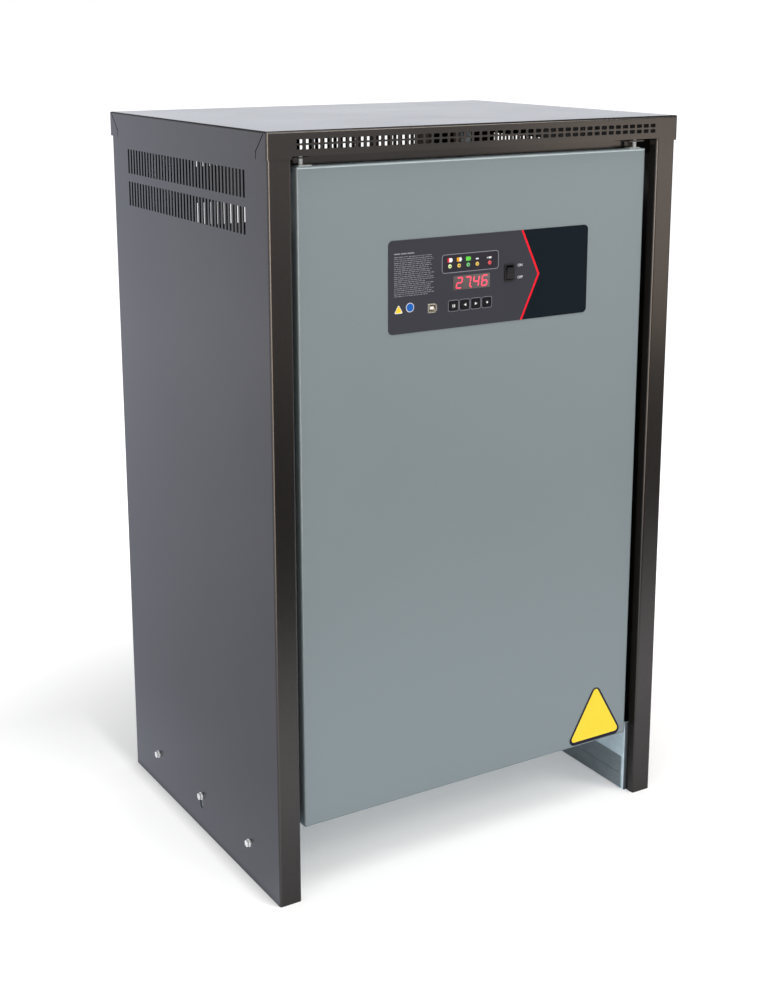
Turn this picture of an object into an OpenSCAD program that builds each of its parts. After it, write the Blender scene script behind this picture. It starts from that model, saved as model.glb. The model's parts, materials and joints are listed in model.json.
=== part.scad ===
/* [Cabinet] */
// Width over the two side panels
cabinet_w = 592; // [570:1:660]
// Depth over the side panels' flanges
cabinet_d = 458; // [440:1:540]
// Height from the floor to the top of the cover
cabinet_h = 950; // [930:1:1080]
// Thickness of the painted sheet
sheet = 1.5; // [1:0.1:2]
// Outer radius of the bends in the painted sheet
bend_r = 3; // [2.5:0.1:4]
// Width of the flanges that frame the front and the rear
flange_w = 30; // [26:1:34]
// Depth of the returns behind the flanges
return_d = 14.5; // [12.5:0.5:18]
// Width of the lips that carry the rear panel
rear_lip_w = 22; // [20:1:28]

/* [Top cover] */
// Gap between the cover's lip and the side panels
cover_gap = 0.5; // [0.3:0.1:1]
// Height of the cover's lip
cover_lip = 31.7; // [30:0.1:40]
// How much shorter the front lip is between the posts
cover_relief = 3.2; // [1:0.1:5]
// Length of the corner tabs that the front and rear lips wrap round the sides
tab_len = 26.7; // [20:0.1:34]
// Height of the sloping part of a corner seam
seam_rise = 20.3; // [12:0.1:26]
// Distance of a corner seam's upper end from the cover's end face
seam_start = 7.8; // [6:0.1:12]
// Width of the open corner seams
seam_w = 1.4; // [0.5:0.1:1.5]
// Number of perforations in one row of the front lip
perf_count = 46; // [20:1:46]
// Length of a perforation
perf_l = 8.4; // [6:0.1:9]
// Height of a perforation
perf_h = 4.7; // [3:0.1:5.5]
// Distance between neighbouring perforations
perf_pitch = 11.4; // [10:0.1:12]
// Distance between the two rows of perforations
perf_row_pitch = 6.8; // [6:0.1:8]
// Drop from the top of the cover to the upper row of perforations
perf_drop = 12; // [8:0.1:13]
// Corner radius of a perforation
perf_r = 1.4; // [0.5:0.1:1.4]

/* [Vents] */
// Width of the vent slots
slot_w = 4.8; // [3:0.1:6]
// Length of the vent slots
slot_l = 31.8; // [24:0.1:36]
// Number of slots in one row of a side panel
side_slot_count = 38; // [20:1:40]
// Distance between neighbouring slots of a side panel
side_slot_pitch = 9.25; // [8:0.05:10]
// Distance of a side panel's slots behind the middle of its depth
side_slot_back = 2.5; // [0:0.1:6]
// Drop from the top of the cover to the middle of the upper slots
slot_drop = 62.3; // [60:0.1:80]
// Distance between the two rows of a side panel
side_row_pitch = 42.5; // [38:0.1:60]
// Number of slots in one row of the rear panel
rear_slot_count = 36; // [20:1:40]
// Distance between neighbouring slots of the rear panel
rear_slot_pitch = 10.2; // [8:0.1:11]
// Distance between the two rows of the rear panel
rear_row_pitch = 82; // [40:1:100]

/* [Front panel] */
// Gap between the front panel and the posts beside it
panel_gap = 10.7; // [6:0.1:13]
// Setback of the front panel behind the flanges
panel_recess = 9.3; // [7:0.1:11]
// Height of the front panel's lower edge above the floor
panel_bottom = 92; // [80:1:110]
// Drop from the top of the cover to the front panel's upper edge
panel_drop = 41.5; // [38:0.1:50]
// Depth of the front panel's folded edges
panel_return = 20; // [18:0.5:22]
// Diameter of the pins that hang the front panel
pin_d = 5; // [4:0.5:6]
// Height of those pins above the front panel's upper edge
pin_h = 13; // [12:0.5:16]
// Distance of a pin from the front panel's side edge
pin_inset = 11; // [9:0.5:20]
// Length of the zinc plate under a pin
pin_plate_l = 17; // [14:0.5:22]
// Width of the zinc plate under a pin
pin_plate_w = 10; // [8:0.5:12]
// Thickness of the zinc plate under a pin
pin_plate_t = 1.2; // [0.8:0.1:2]
// Distance of the lower fixing screws from the middle
panel_screw_x = 180; // [120:1:210]

/* [Cross rails] */
// Height of the rails
rail_h = 22; // [18:1:40]
// Width of the rails' flanges
rail_flange = 26; // [22:1:32]
// Gap between the front panel's folded edge and the front rail
rail_gap = 1.7; // [1:0.1:4]
// Gap between the cover's brackets and the rear rail below them
rear_rail_gap = 2; // [1:0.5:6]
// Width of the lugs that take the front panel's pins
lug_w = 24; // [16:1:30]

/* [Cover brackets] */
// Width of the brackets that carry the cover
bracket_w = 26; // [22:1:34]
// Height of the brackets on the side panels
bracket_h = 18; // [14:1:24]
// Length of the brackets
bracket_l = 40; // [24:1:60]
// Distance of the brackets from the middle of the depth
bracket_y = 150; // [80:1:160]

/* [Base] */
// Thickness of the zinc-coated base sheet
base_sheet = 2; // [1.5:0.1:3]
// Distance from a side panel's outer face to the base frame's leg
leg_inset = 33; // [33:0.5:40]
// Height of the base frame's front uprights
horn_h = 103; // [98:1:120]
// Width of the base frame's outer end flanges
horn_w = 28; // [20:1:30]
// Clearance of the legs above the floor
leg_clear = 4; // [4:0.5:8]
// Thickness of the foot channels
foot_sheet = 1.5; // [1.2:0.1:2]
// Height of the foot channels' inner walls
foot_wall = 49; // [40:1:60]
// Height of the foot channels' outer walls
foot_outer_wall = 62; // [56:1:75]
// Height of the pressed line along the inner walls
foot_line_z = 24; // [12:1:32]
// Number of air slots in one row of the base
base_slot_count = 15; // [8:1:15]
// Width of an air slot in the base
base_slot_w = 12; // [8:0.5:16]
// Length of an air slot in the base
base_slot_l = 62; // [40:1:70]
// Distance between neighbouring air slots in the base
base_slot_pitch = 28; // [20:0.5:30]
// Distance of the air slots from the base's rear end
base_slot_inset = 76; // [63:1:81]

/* [Side screws] */
// Height of the side panels' fixing screws
side_screw_z = 48; // [42:1:52]
// Distance between neighbouring side screws
side_screw_pitch = 144.5; // [100:0.5:160]
// Thread diameter of the side screws
side_screw_d = 5; // [5:0.5:8]
// Length of the upright slot under the middle screw
key_slot_l = 20; // [16:0.5:24]
// Width of that slot
key_slot_w = 8.5; // [7:0.1:9.5]

/* [Overlay] */
// Width of the printed overlay
overlay_w = 298; // [260:1:330]
// Height of the printed overlay
overlay_h = 113; // [108:1:130]
// Thickness of the overlay
overlay_t = 0.8; // [0.5:0.1:1.2]
// Corner radius of the overlay
overlay_r = 6; // [2:0.5:10]
// Offset of the overlay's middle from the cabinet's middle
overlay_x = 14.8; // [0:0.1:30]
// Drop from the top of the cover to the overlay's middle
overlay_drop = 190.5; // [170:0.5:240]
// Gap round the pieces that pass through the overlay
aperture_gap = 0.3; // [0.2:0.05:0.6]

/* [Display] */
// Width of the display window
window_w = 54; // [46:0.1:60]
// Height of the display window
window_h = 17.7; // [14:0.1:20]
// Distance of the window's middle to the left of the overlay's middle
window_left = 29.8; // [24:0.1:36]
// Distance of the window's middle below the overlay's middle
window_down = 1.6; // [0:0.1:4]
// Width of the window's rear rim
window_rim = 2; // [1:0.1:3]
// Depth of the display module behind the window
display_depth = 9; // [6:0.5:12]

/* [Lamps] */
// Diameter of the status lamps
lamp_d = 5; // [3:0.1:6]
// Height of a lamp in front of the overlay
lamp_proud = 0.8; // [0.3:0.1:2]
// Distance of the lamps' middle above the display window
lamp_gap = 12.5; // [10:0.1:16]
// Distance of the first lamp to the left of the display window
lamp_left = 5.3; // [0:0.1:8]
// Distance between the first four lamps
lamp_pitch = 13.4; // [10:0.1:14]
// Extra distance before the fifth lamp
lamp_extra = 5.1; // [0:0.1:8]

/* [Keys] */
// Width of a key
key_w = 12.6; // [9:0.1:13]
// Height of a key
key_h = 11.4; // [9:0.1:13]
// Distance between neighbouring keys
key_pitch = 16.5; // [16:0.1:18]
// Gap between the display window and the keys below it
key_gap = 13; // [10:0.1:16]
// Distance of the first key's middle to the right of the window's left edge
key_right = 0.4; // [0:0.1:4]
// Height of a key in front of the overlay
key_proud = 0.9; // [0.5:0.1:2]
// Travel of a key
key_travel = 0.8; // [0.4:0.1:1]
// Width of a key's rear rim
key_rim = 1.2; // [0.6:0.1:1.4]

/* [Power switch] */
// Width of the switch's bezel
bezel_w = 14.7; // [13:0.1:18]
// Height of the switch's bezel
bezel_h = 21.2; // [19:0.1:25]
// Thickness of the bezel's rim
bezel_t = 1.5; // [1:0.1:2.5]
// Overlap of the rim round the cut-out
bezel_rim = 0.8; // [0.5:0.1:1.5]
// Wall of the switch housing
bezel_wall = 1.3; // [1.1:0.1:1.8]
// Depth of the switch housing behind the overlay
bezel_depth = 20; // [16:1:28]
// Gap between the display window and the switch
bezel_gap = 22; // [16:0.1:30]
// Distance of the switch's middle above the window's middle
bezel_up = 6.7; // [0:0.1:10]
// Tilt of the paddle to either side
paddle_tilt = 8; // [5:0.5:10]
// Gap between the paddle and the housing
paddle_gap = 0.35; // [0.3:0.05:0.6]
// Diameter of the paddle's pivot
pivot_d = 2; // [1.5:0.1:2.5]
// Radial clearance of the pivot
pivot_gap = 0.05; // [0.02:0.01:0.1]

/* [Data port] */
// Width of the port's shell
port_w = 13.2; // [12:0.1:15]
// Height of the port's shell
port_h = 11.4; // [10:0.1:13]
// Wall of the port's shell
port_wall = 1.2; // [0.8:0.1:1.6]
// Height of the port in front of the overlay
port_proud = 0.4; // [0.2:0.1:1.5]
// Gap between the port and the first key
port_gap = 17.7; // [10:0.1:24]
// Width of the contact block in the port
tongue_w = 5.6; // [4:0.1:7]
// Height of the contact block in the port
tongue_h = 3.2; // [2:0.1:4]

/* [Control board] */
// Thickness of the control board
board_t = 1.6; // [1:0.1:2.4]
// Width of the board's spacers across their flats
spacer_d = 6; // [5:0.5:8]
// Margin of the board round the parts that it carries
board_margin = 14; // [12:1:20]

/* [Transformer] */
// Width of the laminated core
core_w = 360; // [320:1:420]
// Height of the laminated core
core_h = 300; // [260:1:330]
// Depth of the stack of sheets
core_stack = 110; // [80:1:130]
// Width of the core's limbs and yokes
limb_w = 72; // [60:1:80]
// Gap between a coil and its limb
coil_gap = 2; // [1:0.5:4]
// Gap between neighbouring coils
coil_space = 4; // [2:0.5:10]
// Gap above the coils
coil_top_gap = 6; // [2:0.5:20]
// Thickness of the clamping angles
clamp_t = 4; // [3:0.5:6]
// Height of the clamping angles
clamp_h = 58; // [50:1:60]
// Width of the clamping angles' feet
clamp_foot = 32; // [26:1:40]
// Diameter of the clamping bolts
clamp_bolt_d = 10; // [8:1:12]
// Distance of the clamping bolts from the core's ends
clamp_bolt_inset = 20; // [16:1:30]

/* [Rectifier] */
// Width of the heat sink
sink_w = 210; // [180:1:260]
// Height of the heat sink
sink_h = 190; // [160:1:200]
// Thickness of the heat sink's base
sink_base = 10; // [6:1:14]
// Length of the heat sink's fins
fin_l = 32; // [20:1:34]
// Thickness of a fin
fin_t = 3; // [2:0.5:4]
// Number of fins
fin_count = 13; // [7:1:15]
// Rim of the heat sink round its fins
sink_rim = 14; // [10:1:20]
// Width of a rectifier module
module_w = 34; // [28:1:38]
// Height of a rectifier module
module_h = 94; // [80:1:110]
// Depth of a rectifier module
module_d = 30; // [24:1:36]
// Distance between neighbouring rectifier modules
module_pitch = 58; // [40:1:62]
// Distance between a module's terminals
module_terminal_pitch = 24; // [22:1:28]
// Width of the busbars
busbar_w = 20; // [14:1:21]
// Thickness of the busbars
busbar_t = 4; // [2:0.5:6]

/* [Devices] */
// Width of the contactor
contactor_w = 76; // [60:1:90]
// Height of the contactor
contactor_h = 86; // [70:1:100]
// Depth of the contactor
contactor_d = 92; // [70:1:110]
// Width of the fuse base
fuse_base_w = 96; // [80:1:110]
// Height of the fuse base
fuse_base_h = 86; // [70:1:100]
// Depth of the fuse base
fuse_base_d = 34; // [24:1:44]
// Diameter of the fuse links
fuse_d = 18; // [14:1:22]
// Width of one mains terminal
terminal_w = 13; // [10:0.5:15]
// Height of one mains terminal
terminal_h = 58; // [46:1:70]
// Depth of one mains terminal
terminal_d = 44; // [34:1:54]
// Number of mains terminals
terminal_count = 5; // [4:1:6]
// Gap between neighbouring devices
device_gap = 34; // [20:1:40]
// Lift of the component plate above the transformer
plate_lift = 26; // [16:1:40]
// Margin of the component plate round its devices
plate_margin = 18; // [12:1:30]
// Width of the uprights' legs
upright_w = 24; // [20:1:26]

/* [Cable glands] */
// Distance of the glands from the middle
gland_x = 170; // [150:1:200]
// Distance of the glands from the base's rear end
gland_inset = 73; // [63:1:90]
// Bore of the mains gland
mains_bore = 16; // [10:1:20]
// Bore of the charging cable's gland
charge_bore = 24; // [16:1:28]
// Wall of a gland round its bore
gland_wall = 5; // [4:0.5:7]
// Length of a gland's cap below the base
gland_cap = 26; // [18:1:34]
// Length of a gland's thread above the base
gland_thread = 11; // [9:1:16]
// Height of a gland's lock nut
gland_nut_h = 6; // [4:1:8]

/* [Hidden] */
half_w = cabinet_w / 2;
front_y = -cabinet_d / 2;
rear_y = cabinet_d / 2;
wall_x = half_w - sheet;
post_x = half_w - flange_w;
cover_under = cabinet_h - sheet;
side_top = cabinet_h - bend_r;
cover_w = cabinet_w + 2 * (cover_gap + sheet);
cover_d = cabinet_d + 2 * (cover_gap + sheet);
cover_bottom = cabinet_h - cover_lip;
slot_z = cabinet_h - slot_drop;

small_screw_d = 5;
hole_gap = 0.1;
hex_ratio = 1.65;
head_ratio = 0.65;
washer_ratio = 2.1;
washer_t = 1.2;
pan_head_ratio = 0.55;
pan_width_ratio = 1.9;
drive_depth = 1.4;
drive_w = 1.1;
panel_screw_l = 9;
rear_screw_l = 8;
side_screw_l = 9;
stud_l = 14;

panel_half = post_x - panel_gap;
panel_top = cabinet_h - panel_drop;
panel_front = front_y + panel_recess;
panel_back = panel_front + sheet;
panel_edge = panel_front + panel_return;
pin_x = panel_half - pin_inset;
pin_y = panel_front + panel_return / 2;
pin_tip = 3;
lug_z = panel_top + pin_h - pin_tip - sheet;

rail_y = panel_edge + rail_gap;
rail_over = 1;
rail_bottom = panel_top + pin_h + rail_over - rail_h;
rear_rail_bottom = cover_under - bracket_h - rear_rail_gap - rail_h;
bracket_stud_x = wall_x - bracket_w / 2;
rear_face = rear_y - return_d;
lip_front = rear_face - sheet;
rear_gap = 2;
rear_hem = 12;
rear_screw_margin = 40;
rear_panel_half = post_x - rear_gap;
rear_hem_half = post_x - rear_lip_w - 2 * rear_gap;
rear_screw_x = post_x - (rear_lip_w + rear_gap) / 2;
rear_screw_step = (panel_top - panel_bottom) / 2 - rear_screw_margin;
rear_screw_z = [for (k = [0:2]) panel_bottom + rear_screw_margin + k * rear_screw_step];

frame_gap = 1;
base_under = panel_bottom + sheet;
base_top = base_under + base_sheet;
base_half = half_w - leg_inset;
leg_inner = base_half - base_sheet;
foot_inner = leg_inner - foot_sheet;
foot_line_w = 1.4;
foot_line_d = 0.5;
horn_y = front_y + return_d;
tongue_front = panel_back + bend_r;
tongue_half = panel_half - sheet - frame_gap;
base_front = panel_edge + frame_gap;
base_slot_y = lip_front - base_slot_inset;
foot_end = horn_y + base_sheet + bend_r + frame_gap;

overlay_z = cabinet_h - overlay_drop;
overlay_face = panel_front - overlay_t;
rim_t = 1;
board_front = panel_back + rim_t + display_depth;
board_back = board_front + board_t;
window_c = [overlay_x - window_left, overlay_z - window_down];
window_size = [window_w, window_h];
lamp_z = window_c[1] + window_h / 2 + lamp_gap;
lamp_x0 = window_c[0] - window_w / 2 - lamp_left;
lamp_x = [for (i = [0:4]) lamp_x0 + i * lamp_pitch + (i > 3 ? lamp_extra : 0)];
key_size = [key_w, key_h];
key_z = window_c[1] - window_h / 2 - key_gap - key_h / 2;
key_x0 = window_c[0] - window_w / 2 + key_right;
key_x = [for (i = [0:3]) key_x0 + i * key_pitch];
key_contact_w = 6;
key_contact_h = 5;
key_rest_gap = 0.15;
bezel_size = [bezel_w, bezel_h];
body_size = [bezel_w - 2 * bezel_rim, bezel_h - 2 * bezel_rim];
bezel_c = [window_c[0] + window_w / 2 + bezel_gap + bezel_w / 2, window_c[1] + bezel_up];
paddle_w = body_size[0] - 2 * bezel_wall - 2 * paddle_gap;
paddle_front = 3.4;
paddle_proud = 0.6;
paddle_margin = 2.4;
paddle_half = body_size[1] / 2 - paddle_margin;
paddle_rise = paddle_half * tan(paddle_tilt);
paddle_swing = norm([paddle_front + paddle_rise, paddle_half]);
pivot_y = overlay_face - bezel_t + paddle_front - paddle_proud;
port_size = [port_w, port_h];
port_cut = 0.22;
port_c = [key_x0 - key_w / 2 - port_gap - port_w / 2, key_z];
board_gap = 4;
board_x0 = port_c[0] - port_w / 2 - board_margin;
board_x1 = bezel_c[0] - body_size[0] / 2 - board_gap;
board_z0 = key_z - max(key_h, port_h) / 2 - board_margin;
board_z1 = lamp_z + board_margin;
stud_d = 3;

gap_w = (core_w - 3 * limb_w) / 2;
limb_pitch = limb_w + gap_w;
coil_t = gap_w / 2 - coil_gap - coil_space / 2;
coil_h = core_h - 2 * limb_w - coil_top_gap;
core_lift = 3;
core_bottom = base_top + core_lift;
coil_bottom = core_bottom + limb_w;
core_top = core_bottom + core_h;
clamp_y = core_stack / 2;
clamp_top = core_top + core_lift;
clamp_r = 1.5 * clamp_t;
clamp_end = 12;
clamp_half = core_w / 2 + clamp_end;
clamp_bolt_x = core_w / 2 - clamp_bolt_inset;
clamp_bolt_z = [base_top + clamp_h / 2 + clamp_t, clamp_top - clamp_h / 2 - clamp_t];

upright_back = -rail_y - sheet;
plate_y = upright_back - upright_w;
plate_front = plate_y - base_sheet;
upright_x = base_half - bend_r - 2 * base_sheet;
plate_half = upright_x + base_sheet;
device_h = max(contactor_h, fuse_base_h, terminal_h);
row_w = contactor_w + fuse_base_w + terminal_count * terminal_w + 2 * device_gap;
row_x0 = -row_w / 2;
fuse_x0 = row_x0 + contactor_w + device_gap;
terminal_x0 = fuse_x0 + fuse_base_w + device_gap;
plate_z0 = clamp_top + plate_lift;
row_z = plate_z0 + plate_margin + device_h / 2;
sink_z = plate_z0 + 2 * plate_margin + device_h + sink_h / 2;
plate_z1 = sink_z + sink_h / 2 + plate_margin;
sink_front = plate_front - sink_base;
module_foot_t = 4;
module_step = [6, 22];
module_stud_d = 12;
module_stud_h = 3;
module_front = sink_front - module_d;
busbar_reach = 22;
busbar_hole_d = 8.4;
fuse_cap = 12;
fuse_end = 10;
fuse_l = fuse_base_h - 2 * fuse_end;
fuse_pitch = fuse_base_w / 3;
fuse_y = plate_front - fuse_base_d;

function gland_r(bore) = bore / 2 + gland_wall;
gland_rim = 8;
gland_lip = 2;
gland_edge = 3;
gland_keep = 50;
gland_y = lip_front - gland_inset;
earth_d = 8;
earth_l = 26;
earth_nut = 6;
earth_inset = 33;
earth_y = lip_front - earth_inset;

cabinet_grey = "#5d5e63";
panel_grey = "#8f979d";
zinc = "#b4bcc2";
dark_zinc = "#565f64";
steel = "#c9cdd1";
black = "#1d1e21";

// Extrudes an outline drawn in X and Z from y0 to y1
module from_y(y0, y1) {
  translate([0, y1, 0]) rotate([90, 0, 0]) linear_extrude(y1 - y0) children();
}

// Extrudes an outline drawn in Y and Z from x0 to x1
module from_x(x0, x1) {
  translate([x0, 0, 0]) rotate([90, 0, 90]) linear_extrude(x1 - x0) children();
}

// Extrudes an outline drawn in X and Y from z0 to z1
module from_z(z0, z1) {
  translate([0, 0, z0]) linear_extrude(z1 - z0) children();
}

// Rectangle between two corners
module area(lo, hi) {
  translate(lo) square(hi - lo);
}

// Slot with round ends, its length along the second axis
module slot(l, w) {
  square([w, l - w], center = true);
  for (s = [-1, 1]) translate([0, s * (l - w) / 2]) circle(d = w, $fn = 32);
}

// Rectangle with round corners about the origin
module rounded(size, r) {
  square([size[0] - 2 * r, size[1]], center = true);
  square([size[0], size[1] - 2 * r], center = true);
  for (x = [-1, 1]) for (y = [-1, 1])
    translate([x * (size[0] / 2 - r), y * (size[1] / 2 - r)]) circle(r, $fn = 32);
}

// Quarter of a sheet's bend
module bend(r, t) {
  intersection() {
    difference() {
      circle(r, $fn = 48);
      circle(r - t, $fn = 48);
    }
    square(r);
  }
}

// Section of a folded sheet: flat legs with a left (1) or right (-1) bend after each
module fold(legs, turns, t, r, i = 0) {
  square([legs[i], t]);
  if (i < len(turns) && turns[i] > 0) {
    translate([legs[i], r]) rotate(-90) bend(r, t);
    translate([legs[i] + r, r]) rotate(90) fold(legs, turns, t, r, i + 1);
  }
  if (i < len(turns) && turns[i] < 0) {
    translate([legs[i], t - r]) bend(r, t);
    translate([legs[i] + r - t, t - r]) rotate(-90) fold(legs, turns, t, r, i + 1);
  }
}

// Outline with two round upper corners, standing on the first axis
module crown(w, h, r) {
  area([-w / 2, 0], [w / 2, h - r]);
  area([-w / 2 + r, 0], [w / 2 - r, h]);
  for (s = [-1, 1]) translate([s * (w / 2 - r), h - r]) circle(r, $fn = 48);
}

// Block with round upper and upright edges
module soft_block(w, d, h, r) {
  intersection() {
    linear_extrude(h) rounded([w, d], r);
    from_y(-d / 2, d / 2) crown(w, h, r);
    from_x(-w / 2, w / 2) crown(d, h, r);
  }
}

// Pan folded from one sheet, open below
module pan(w, d, h, r, t) {
  difference() {
    soft_block(w, d, h, r);
    translate([0, 0, -1]) soft_block(w - 2 * t, d - 2 * t, h - t + 1, r - t);
  }
}

// Hexagon by its width across flats
module hexagon(af) {
  circle(d = af / cos(30), $fn = 6);
}

// Hexagon screw along +X with its head's seat at the origin
module hex_screw(d, l) {
  rotate([0, 90, 0]) {
    translate([0, 0, -washer_t]) cylinder(d = washer_ratio * d, h = washer_t, $fn = 48);
    translate([0, 0, -head_ratio * d - washer_t]) linear_extrude(head_ratio * d) hexagon(hex_ratio * d);
    cylinder(d = d, h = l, $fn = 32);
  }
}

// Pan-head screw along +Z with its head's seat at the origin
module pan_screw(d, l) {
  head_h = pan_head_ratio * d;
  head_r = pan_width_ratio * d / 2;
  edge = head_h / 2;
  cylinder(d = d, h = l, $fn = 32);
  difference() {
    translate([0, 0, -head_h]) rotate_extrude($fn = 48) {
      translate([0, edge]) square([head_r, head_h - edge]);
      square([head_r - edge, head_h]);
      translate([head_r - edge, edge]) intersection() {
        circle(edge, $fn = 32);
        translate([0, -edge]) square(edge);
      }
    }
    translate([0, 0, -head_h - 1]) linear_extrude(1 + drive_depth) square([head_r, drive_w], center = true);
    translate([0, 0, -head_h - 1]) linear_extrude(1 + drive_depth) square([drive_w, head_r], center = true);
  }
}

module side_vents() {
  for (row = [0, 1])
    for (i = [0:side_slot_count - 1])
      translate([(i - (side_slot_count - 1) / 2) * side_slot_pitch, slot_z - row * side_row_pitch])
        square([slot_w, slot_l], center = true);
}

module side_screw_holes(d) {
  for (k = [-1:1]) translate([k * side_screw_pitch, side_screw_z]) circle(d = d, $fn = 32);
}

module side_panel() {
  legs = [
    return_d - bend_r, flange_w - 2 * bend_r, cabinet_d - 2 * bend_r, flange_w - 2 * bend_r,
    return_d - 2 * bend_r + sheet, rear_lip_w - bend_r
  ];
  color(cabinet_grey) difference() {
    from_z(0, side_top)
      translate([post_x, front_y + return_d]) rotate(-90) fold(legs, [1, 1, 1, 1, -1], sheet, bend_r);
    from_x(wall_x - 1, half_w + 1) {
      translate([side_slot_back, 0]) side_vents();
      side_screw_holes(side_screw_d + 2 * hole_gap);
      translate([0, side_screw_z + side_screw_d / 2 - key_slot_l / 2]) slot(key_slot_l, key_slot_w);
    }
    from_y(lip_front - 1, rear_face + 1) rear_screw_holes();
  }
}

module rear_screw_holes() {
  for (s = [-1, 1]) for (z = rear_screw_z)
    translate([s * rear_screw_x, z]) circle(d = small_screw_d + 2 * hole_gap, $fn = 32);
}

module left_side_panel() {
  mirror([1, 0, 0]) side_panel();
}

module right_side_panel() {
  side_panel();
}

// Open seam beside a corner tab, drawn from the cover's end face and its top
module corner_seam() {
  slope = [tab_len - seam_start, -seam_rise];
  top = [seam_start, -bend_r];
  translate(top) rotate(atan2(slope[1], slope[0])) translate([0, -seam_w / 2]) square([norm(slope), seam_w]);
  translate([tab_len - seam_w / 2, -cover_lip - 1])
    square([seam_w, cover_lip + 1 - bend_r - seam_rise + seam_w]);
}

module perforations() {
  for (row = [0, 1])
    for (i = [0:perf_count - 1])
      translate([(i - (perf_count - 1) / 2) * perf_pitch, cabinet_h - perf_drop - row * perf_row_pitch])
        rounded([perf_l, perf_h], perf_r);
}

module top_cover() {
  color(cabinet_grey) cover_stud_places() from_z(cover_under - stud_l, cover_under + sheet / 2)
    circle(d = small_screw_d, $fn = 32);
  color(cabinet_grey) difference() {
    translate([0, 0, cover_bottom]) pan(cover_w, cover_d, cover_lip, bend_r, sheet);
    from_y(-cover_d / 2 - 1, front_y) {
      perforations();
      area([-post_x, cover_bottom - 1], [post_x, cover_bottom + cover_relief]);
    }
    for (x = [0, 1]) mirror([x, 0, 0]) for (y = [0, 1]) mirror([0, y, 0])
      from_x(half_w, cover_w / 2 + 1) translate([-cover_d / 2, cabinet_h]) corner_seam();
  }
}

module control_apertures() {
  g = 2 * aperture_gap;
  translate(window_c) square(window_size + [g, g], center = true);
  translate(bezel_c) square(body_size + [g, g], center = true);
  translate(port_c) square(port_size + [g, g], center = true);
  for (x = lamp_x) translate([x, lamp_z]) circle(d = lamp_d + g, $fn = 32);
  for (x = key_x) translate([x, key_z]) square(key_size + [g, g], center = true);
}

module panel_screw_places() {
  for (s = [-1, 1]) translate([s * panel_screw_x, pin_y]) children();
}

module front_panel() {
  height = panel_top - panel_bottom;
  color(panel_grey) difference() {
    translate([0, panel_edge, panel_bottom + height / 2]) rotate([90, 0, 0])
      pan(2 * panel_half, height, panel_return, bend_r, sheet);
    from_y(panel_front - 1, panel_back + 1) control_apertures();
    from_z(panel_bottom - 1, base_under + 1) panel_screw_places()
      circle(d = small_screw_d + 2 * hole_gap, $fn = 32);
    from_z(panel_top - sheet - 1, panel_top + 1)
      for (s = [-1, 1]) translate([s * pin_x, pin_y]) circle(d = pin_d + 2 * hole_gap, $fn = 32);
  }
}

module front_panel_pins() {
  color(steel) for (s = [0, 1]) mirror([s, 0, 0]) translate([pin_x, pin_y, panel_top]) {
    translate([pin_plate_w / 2 - pin_plate_l, -pin_plate_w / 2, 0])
      cube([pin_plate_l, pin_plate_w, pin_plate_t]);
    translate([0, 0, -sheet]) cylinder(d = pin_d, h = sheet + pin_h, $fn = 32);
  }
}

module front_panel_screws() {
  color(steel) panel_screw_places() translate([0, 0, panel_bottom]) pan_screw(small_screw_d, panel_screw_l);
}

module rear_vents() {
  for (row = [0, 1])
    for (i = [0:rear_slot_count - 1])
      translate([(i - (rear_slot_count - 1) / 2) * rear_slot_pitch, slot_z - row * rear_row_pitch])
        square([slot_w, slot_l], center = true);
}

module rear_panel() {
  height = panel_top - panel_bottom;
  legs = [rear_hem - bend_r, height - 2 * bend_r, rear_hem - bend_r];
  color(cabinet_grey) difference() {
    union() {
      from_y(rear_face, rear_face + sheet)
        area([-rear_panel_half, panel_bottom + bend_r], [rear_panel_half, panel_top - bend_r]);
      from_x(-rear_hem_half, rear_hem_half) translate([rear_face + sheet - rear_hem, panel_bottom])
        fold(legs, [1, 1], sheet, bend_r);
    }
    from_y(rear_face - 1, rear_face + sheet + 1) {
      rear_vents();
      rear_screw_holes();
    }
  }
}

module rear_panel_screws() {
  color(steel) for (s = [-1, 1]) for (z = rear_screw_z)
    translate([s * rear_screw_x, rear_face + sheet, z]) rotate([90, 0, 0])
      pan_screw(small_screw_d, rear_screw_l);
}

// Channel across the cabinet that opens towards +Y
module rail(bottom) {
  legs = [rail_flange - bend_r, rail_h - 2 * bend_r, rail_flange - bend_r];
  from_x(-wall_x, wall_x) translate([rail_y + rail_flange, bottom + sheet]) rotate(180)
    fold(legs, [-1, -1], sheet, bend_r);
}

module front_cross_rail() {
  color(cabinet_grey) {
    rail(rail_bottom);
    for (s = [-1, 1]) from_z(lug_z, lug_z + sheet) difference() {
      area([s * pin_x - lug_w / 2, pin_y - pin_d], [s * pin_x + lug_w / 2, rail_y + sheet / 2]);
      translate([s * pin_x, pin_y]) circle(d = pin_d + 4 * hole_gap, $fn = 32);
    }
  }
}

module rear_cross_rail() {
  color(cabinet_grey) mirror([0, 1, 0]) rail(rear_rail_bottom);
}

// Places of the studs welded under the cover, one over each bracket
module cover_stud_places() {
  for (x = [-1, 1]) for (y = [-1, 1]) translate([x * bracket_stud_x, y * bracket_y, 0]) children();
}

module cover_brackets() {
  legs = [bracket_w - bend_r, bracket_h - bend_r];
  color(cabinet_grey) difference() {
    for (x = [0, 1]) mirror([x, 0, 0]) for (y = [-1, 1])
      from_y(y * bracket_y - bracket_l / 2, y * bracket_y + bracket_l / 2)
        translate([wall_x - bracket_w, cover_under - sheet]) fold(legs, [-1], sheet, bend_r);
    cover_stud_places() from_z(cover_under - sheet - 1, cover_under + 1)
      circle(d = small_screw_d + 2 * hole_gap, $fn = 32);
  }
}

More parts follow.
